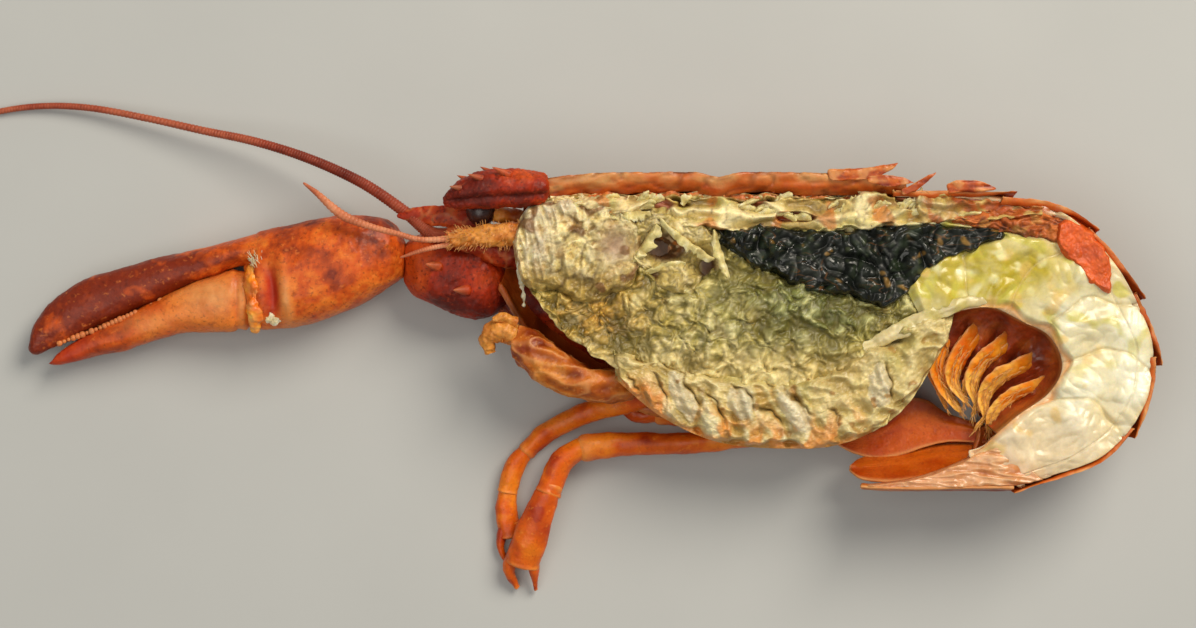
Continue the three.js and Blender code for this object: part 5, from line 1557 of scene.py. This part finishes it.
def swimmeret(rows, seed):
    """Three narrow blades side by side, each with pale edges, a curling tip and a hair fringe."""
    blades = []
    for k, (shift, width, turn) in enumerate(BLADES):
        line = np.array(rows, float)
        line[:, :3] += np.array(shift) * np.linspace(1, 0.45, len(line))[:, None]
        line[:, 2] += SUNK_ROOT
        line[-1, :2] += [1.4 * (1 - k), 0.6 * k]
        line[:, 3] *= 0.5
        line[:, 4] *= width
        line[:, 4] *= SLIM_ROOT
        made = limb(line, 80, 32, 0.03, 0.05, turn=turn)
        p = made.points
        t, around = made["along"], made["around"]
        ripple = 0.05 * np.sin(t * 70 + 3 * noise(p, 4, seed + k))
        made.push(ripple + 0.3 * rough(p, 3, 3, seed=seed + k) - 0.1)
        sway = pack(noise(p, 6, seed + 9 * k), noise(p, 6, seed + 9 * k + 3))
        p[:, :2] += 0.6 * sway * smooth(t, 0.15, 0.5)[:, None]
        rims = bell((around - 0.25) * 12) + 0.6 * bell((around - 0.75) * 12)
        # depth: painted shade, darker lower down inside the curl and at the root where the blade goes into the skin
        made.mark(
            tone=0.5 + 0.35 * noise(p, 4, seed + k) + 0.25 * smooth(t, 0.3, 0.8),
            edge=clamp(rims),
            depth=0.3 * smooth(15 - p[:, 2], 0, 4) + 1.1 * smooth(0.3 - t, 0, 0.26),
        )
        path = spline(line[:, :3], np.linspace(0.3, 1, 56))
        ahead = unit(np.gradient(path, axis=0))
        hair = bristles(path + [0, 0, 1], ahead + [0, 0, 0.1], 2, seed + k, 0.08)
        blades += [made, hair.mark(edge=0.7, tone=0.9)]
    return joined(*blades)


def leaf(upper, lower, thickness, seed, tone=0.4, shade=0.0):
    """A leaf of the tail fan: a thin plate with a rib and fine rays."""
    u, v = shares(110), shares(44)
    a, b = spline(upper, u)[:, None], spline(lower, u)[:, None]
    middle = a + (b - a) * v[None, :, None]
    middle[..., 2] -= 0.5 * np.sin(math.pi * v)[None] * np.sin(math.pi * np.minimum(u * 1.1, 1))[:, None]
    normal = unit(np.cross(np.gradient(middle, axis=0), np.gradient(middle, axis=1)))
    rib = 0.45 * bell((v - 0.42) * 9)[None] * (1 - u)[:, None]
    rays = 0.08 * np.sin(v * 90)[None] * smooth(u, 0.4, 0.8)[:, None]
    half = (thickness / 2 * np.sqrt(np.maximum(1 - (2 * v - 1) ** 8, 0.1)))[None]
    half = normal * (half * rounded(u, 0, 0.04)[:, None] + rib + rays)[..., None]
    made = tube(np.concatenate([middle + half, (middle - half)[:, ::-1]], 1))
    p = made.points
    made.push(0.14 * rough(p, 5, 3, seed=seed))
    across = np.append(np.tile(np.concatenate([v, v[::-1]]), len(u)), [0.5, 0.5])
    rim = bell(across * 22) + bell((1 - across) * 22) + smooth(made["along"], 0.95, 1)
    # shade: painted shade, darker along the leaf's upper side
    return made.mark(
        tone=tone + 0.3 * noise(p, 8, seed) + 0.3 * bell((across - 0.42) * 9),
        edge=np.clip(0.8 * rim, 0, 0.9),
        depth=shade * (1 - smooth(across, 0.1, 0.6)),
    )


OUTER_FAN = [
    [(99, -28.4, 8.4), (89.4, -25.4, 7.4), (84, -22, 6.6), (78.6, -21.6, 6.4), (74, -25, 6.4), (66, -28.2, 6.4),
        (59, -29.6, 6.6), (57.6, -30.2, 6.8)],
    [(99.4, -33, 10), (89.6, -32.6, 9.4), (83.7, -33.9, 9.2), (77.1, -36, 9), (71, -36.9, 8.8), (65, -35.4, 8.2),
        (60, -32.6, 7.4), (57.8, -31.2, 7)],
]
INNER_FAN = [
    [(100, -33.4, 9), (89.6, -33.2, 6.8), (80, -34, 6.2), (72, -35.4, 6.8), (66.8, -37, 9), (64, -38.6, 12)],
    [(100, -38.6, 17), (89, -40.2, 17.4), (79.4, -42, 17.6), (71.4, -42.4, 17), (66.4, -41.6, 15.6),
        (63.8, -39.8, 13.4)],
]
TELSON = [
    [(104, -43.6, 15.6), (92, -43.8, 15), (80, -44, 14.6), (70, -43.8, 15.6), (66.4, -43.4, 18)],
    [(104, -43.4, 27.6), (92, -43.4, 27.8), (80, -43.6, 27.8), (70, -43.4, 27.8), (65.6, -43.2, 27)],
]


def flap(corners, lean, seed, rows=30, columns=22, thickness=0.45):
    """A torn piece of membrane: root from corners 0 to 1, free edge from 3 to 2, bent by lean."""
    a, b, c, d = (np.array(corner, float) for corner in corners)
    u, v = shares(rows), shares(columns)
    root = a + np.outer(u, b - a)
    free = d + np.outer(u, c - d)
    narrow = 1 - 0.5 * (np.abs(2 * u - 1) ** 2.2)
    ragged = narrow[:, None] - 0.55 * np.abs(noise(free * [1, 1, 0], 1.3, seed))[:, None]
    middle = root[:, None] + (free - root)[:, None] * (v[None] * ragged)[..., None]
    bend = np.sin(v * math.pi)[None, :, None] * np.array(lean, float)
    middle = middle + bend + 0.9 * noise(middle, 2.2, seed)[..., None] * np.array([0.4, 0.4, 1])
    normal = unit(np.cross(np.gradient(middle, axis=0), np.gradient(middle, axis=1)))
    half = thickness / 2 * (1 - 0.75 * v)[None, :, None]
    made = tube(np.concatenate([middle + normal * half, (middle - normal * half)[:, ::-1]], 1))
    p = made.points
    return made.paint(
        (0.66, 0.54, 0.22),
        (0.7 * spots(p, 2, seed, 0, 0.5), 0.84, 0.74, 0.44),
        (0.7 * spots(p, 2.4, seed + 3, 0.1, 0.5), 0.4, 0.3, 0.09),
    )


MILL_FLAPS = [
    ([(8.4, 13, 26), (14.6, 23, 27), (17.4, 20.4, 29.4), (12.6, 13.4, 28.2)], (-0.6, 0, 0.8)),
    ([(14, 24.6, 27.4), (29, 13.4, 26.6), (26.4, 12.2, 28), (18, 18.4, 29.4)], (0.6, 0.6, 0.9)),
    ([(2, 25, 27.8), (13, 25.6, 28), (13.6, 23, 29.4), (4, 22.4, 29)], (0, 0, 0.6)),
    ([(11, 9.6, 25.6), (22, 12.4, 25.8), (22, 14, 27), (13, 12.2, 27)], (0, 0.3, 0.5)),
    ([(29, 21, 27), (33, 9, 26.6), (30.6, 9, 28), (27.4, 20, 28.6)], (0, 0, 0.8)),
]


def shreds(box, count, length, seed):
    """Small torn bits of membrane that stand up from the cut face within a box of x and y."""
    luck = np.random.default_rng(seed)
    made = []
    for k in range(count):
        x, y = luck.uniform(box[0], box[1]), luck.uniform(box[2], box[3])
        turn = luck.normal(0.35, 0.45)
        long, wide = length * luck.uniform(0.5, 1.1), luck.uniform(1.2, 2.6)
        ahead = np.array([math.cos(turn), math.sin(turn), 0])
        aside = np.array([-math.sin(turn), math.cos(turn), 0]) * wide
        root = np.array([x, y, cut_height(x, y) - 0.6])
        lift = np.array([0, 0, luck.uniform(0.4, 1.4)])
        corners = [root, root + ahead * long, root + ahead * long * 1.1 + aside + lift, root + aside + lift]
        made.append(flap(corners, (0, 0, 0.5), seed + k, 18, 12, 0.35))
    return joined(*made)


SHARDS = [
    [(57, 36.2, 57.6, 33.4, 27, 28.2), (64, 36.6, 64.6, 33.4, 27.4, 28.6), (70, 37.2, 70.4, 34.4, 27.8, 28.9),
        (75, 37.9, 75.1, 37.5, 28.4, 28.9)],
    [(75.4, 31, 76.2, 29.6, 27, 28), (79.4, 33, 80, 31, 27.6, 28.6), (82.4, 34.6, 82.8, 33.4, 28, 28.8),
        (84.6, 35.6, 84.7, 35.2, 28.2, 28.6)],
    [(67, 34.4, 67.6, 32.6, 28, 28.8), (72, 34.8, 72.4, 31.8, 28.2, 29), (76.8, 34, 77, 32.4, 28, 28.8),
        (79, 33, 79.1, 32.7, 28, 28.4)],
    [(87, 32.4, 87.4, 30, 27, 28.4), (91, 33.6, 91.4, 30.4, 27.4, 28.9), (95, 33.4, 95.4, 30.4, 27.4, 28.8),
        (99.6, 31.6, 99.7, 31.2, 27.2, 27.8)],
]


def shards():
    """Flat splinters of shell along the torn edge of the back."""
    made = []
    for k, rows in enumerate(SHARDS):
        piece = slab(rows, 90, 60, 0.4, 0.05, 0.02)
        p = piece.points
        streaks = noise(p @ np.array([[0.2, 0, 0], [0.1, 1.4, 0], [0, 0, 1]]), 1.5, k + 30)
        piece.push(0.2 * rough(p, 2.6, 3, seed=k + 3) + 0.25 * streaks - 0.1)
        rim = bell((piece["around"] - 0.02) * 14)
        pale = smooth(noise(p, 3, 7 + k) + 0.5 * streaks, 0, 0.4)
        made.append(piece.mark(tone=0.5 + 0.4 * noise(p, 4, k) + 0.4 * streaks, edge=clamp(rim + 0.6 * pale)))
    return joined(*made)


def hanging_strip():
    strip = limb(STRIP, 70, 16)
    strip.push(0.5 * rough(strip.points, 1.6, 3))
    return strip.paint((0.56, 0.5, 0.34), (0.7 * spots(strip.points, 2, 3, 0, 0.4), 0.74, 0.68, 0.5))


def make_trunk():
    build("carapace_shell", carapace(), "shell", "carapace")
    for k in range(6):
        build(f"tail_shell_{k + 1}", tail_ring(k), "shell", f"tail_ring_{k + 1}")
    build("liver", chest(), "tomalley", "tomalley")
    build("tail_muscle", tail_meat(), "meat", *(f"tail_meat_{k + 1}" for k in range(4)))
    build("uncooked_roe", dark_roe(), "roe", "dark_roe")
    build("cooked_roe", coral_roe(), "coral", "coral_roe")
    build("stomach_sac", stomach(), "stomach", "stomach")
    build("gastric_pocket", gastric_mill(), "tissue", "gastric_mill")
    build("back_membrane", back_tissue(), "tissue", "back_tissue")
    build("leg_root_muscle", leg_muscle(), "leg_meat", "leg_muscle")
    build("nerve_band", nerve_band(), "meat")
    build("torn_membranes", shreds((-8, 90, 23.5, 28), 40, 6, 3), "tissue")
    build("shell_splinters", shards(), "shell")
    build("fan_flesh", telson_flesh(), "meat")
    build("curl_skin", curl_lining(), "lining")
    flaps = [flap(corners, lean, 20 + k) for k, (corners, lean) in enumerate(MILL_FLAPS)]
    build("gastric_plates", joined(*flaps), "tissue")
    build("hanging_membrane", hanging_strip(), "tissue")


def make_head_and_claw():
    build("claw_hand", claw_palm(), "claw", "claw_palm")
    build("claw_thumb", claw_moving_finger(), "claw", "claw_moving_finger")
    build("claw_hinge_skin", claw_hinge(), "blade")
    build("claw_tendons", claw_tendons(), "tissue")
    build("claw_wrist", claw_carpus(), "dark_shell", "claw_carpus")
    build("claw_arm", claw_merus(), "dark_shell", "claw_merus")
    build("claw_root", knobbly(ISCHIUM, 3, head=0.06, foot=0.06), "shell", "claw_ischium")
    build("beak", rostrum(), "dark_shell", "rostrum")
    build("eyeball", ball((-29.5, 26, 20.4), 3.8, 1, 48, 60), "eye", "eye")
    build("eye_stalk", knobbly(EYE_STALK, 4), "mouth", "eyestalk")
    base = furry(knobbly(FEELER_BASE, 5, 100, 50, 0.6, 2.6, 0.75), 260)
    build("small_feeler_base", base, "mouth", "antennule_base")
    build("small_feeler_outer", feeler(OUTER_FEELER, 46), "pale_feeler", "antennule_outer")
    build("small_feeler_inner", feeler(INNER_FEELER, 22), "pale_feeler", "antennule_inner")
    build("feeler_base", knobbly(ANTENNA_BASE, 6, 100, 60, 0.5, 3), "dark_shell", "antenna_base")
    build("feeler_scale", knobbly(ANTENNA_SCALE, 7, 80, 40, 0.3, 3), "dark_shell", "antenna_scale")
    build("feeler_long", antenna(), "feeler", "antenna_root", "antenna_middle", "antenna_tip")
    build("mouth_leg", maxilliped(), "mouth", "maxilliped")
    tips = knobbly(MOUTH_TIP, 8, 90, 50, 0.5, 2.4, 0.9), knobbly(MOUTH_PALP, 9, 50, 30, 0.3, 2, 0.9)
    build("mouth_leg_tip", joined(*tips), "mouth", "maxilliped_tip")


def make_legs_and_fan():
    for k, (name, (thigh, shin, hand, *fingers)) in enumerate(LEGS.items()):
        fingers = [leg_part(rows, 31 + k, 24) for rows in fingers]
        build(f"{name}_upper", leg_part(thigh, 5 + k), "leg", f"{name}_thigh")
        build(f"{name}_lower", leg_part(shin, 9 + k), "leg", f"{name}_shin")
        build(f"{name}_end", joined(leg_part(hand, 13 + k), *fingers), "leg", f"{name}_hand")
    for k, rows in enumerate(SWIMMERETS):
        build(f"swimming_leg_{k + 1}", swimmeret(rows, 40 + k), "blade", f"swimmeret_{k + 1}")
    build("fan_middle", leaf(*TELSON, 1.3, 3), "shell", "telson")
    build("fan_root", knobbly(FAN_ROOT, 4), "fan", "uropod_base")
    build("fan_inner", leaf(*INNER_FAN, 1, 5, 0.75), "fan", "uropod_inner")
    # the outer leaf gets painted shade along its upper side, next to the leg muscle
    build("fan_outer", leaf(*OUTER_FAN, 1, 7, 0.55, 0.7), "fan", "uropod_outer")


# Table, lights and camera
VIEW_WIDTH = 299.0  # of the cut face, across the whole picture
VIEW_HEIGHT = 900.0  # of the camera over the cut face
SENSOR = 36.0


def make_table():
    bpy.ops.mesh.primitive_plane_add(size=6, location=(0, 0, -0.0002))
    table = bpy.context.active_object
    table.name = "table"
    f = Finish("pale_table", "shell")
    colour = f.ramp(f.cloud(60, 4), [(0.45, 0.46, 0.46), (0.5, 0.51, 0.51)])
    table.data.materials.append(f.done(colour, 0.75, f.bump(f.cloud(3, 4), 0.08, 0.2)))


def add_light(name, place, aim, size, power, colour):
    data = bpy.data.lights.new(name, "AREA")
    data.shape = "ELLIPSE"
    data.size, data.size_y = size
    data.energy = power
    data.color = colour
    light = bpy.data.objects.new(name, data)
    light.location = place
    light.rotation_euler = (Vector(aim) - Vector(place)).to_track_quat("-Z", "Y").to_euler()
    bpy.context.scene.collection.objects.link(light)


def make_lights():
    add_light("window", (0.62, 0.7, 0.95), (0.02, 0, 0), (0.8, 0.8), 16, (1.0, 0.92, 0.78))
    add_light("fill", (-0.35, -0.25, 1.35), (0, 0, 0), (1.2, 1.2), 6, (1.0, 0.97, 0.9))
    world = bpy.data.worlds.new("studio")
    bpy.context.scene.world = world
    world.use_nodes = True
    back = world.node_tree.nodes["Background"]
    back.inputs["Color"].default_value = (0.95, 0.93, 0.86, 1)
    back.inputs["Strength"].default_value = 0.26
    bpy.context.scene.view_settings.view_transform = "Standard"


def make_camera():
    data = bpy.data.cameras.new("camera")
    data.sensor_width = SENSOR
    data.lens = SENSOR * VIEW_HEIGHT / VIEW_WIDTH
    data.clip_end = 20
    camera = bpy.data.objects.new("camera", data)
    camera.location = [c * MM for c in (-MIDPOINT[0], -MIDPOINT[1], CUT + VIEW_HEIGHT)]
    bpy.context.scene.collection.objects.link(camera)
    bpy.context.scene.camera = camera


make_camera()
make_lights()
make_table()
make_trunk()
make_head_and_claw()
make_legs_and_fan()
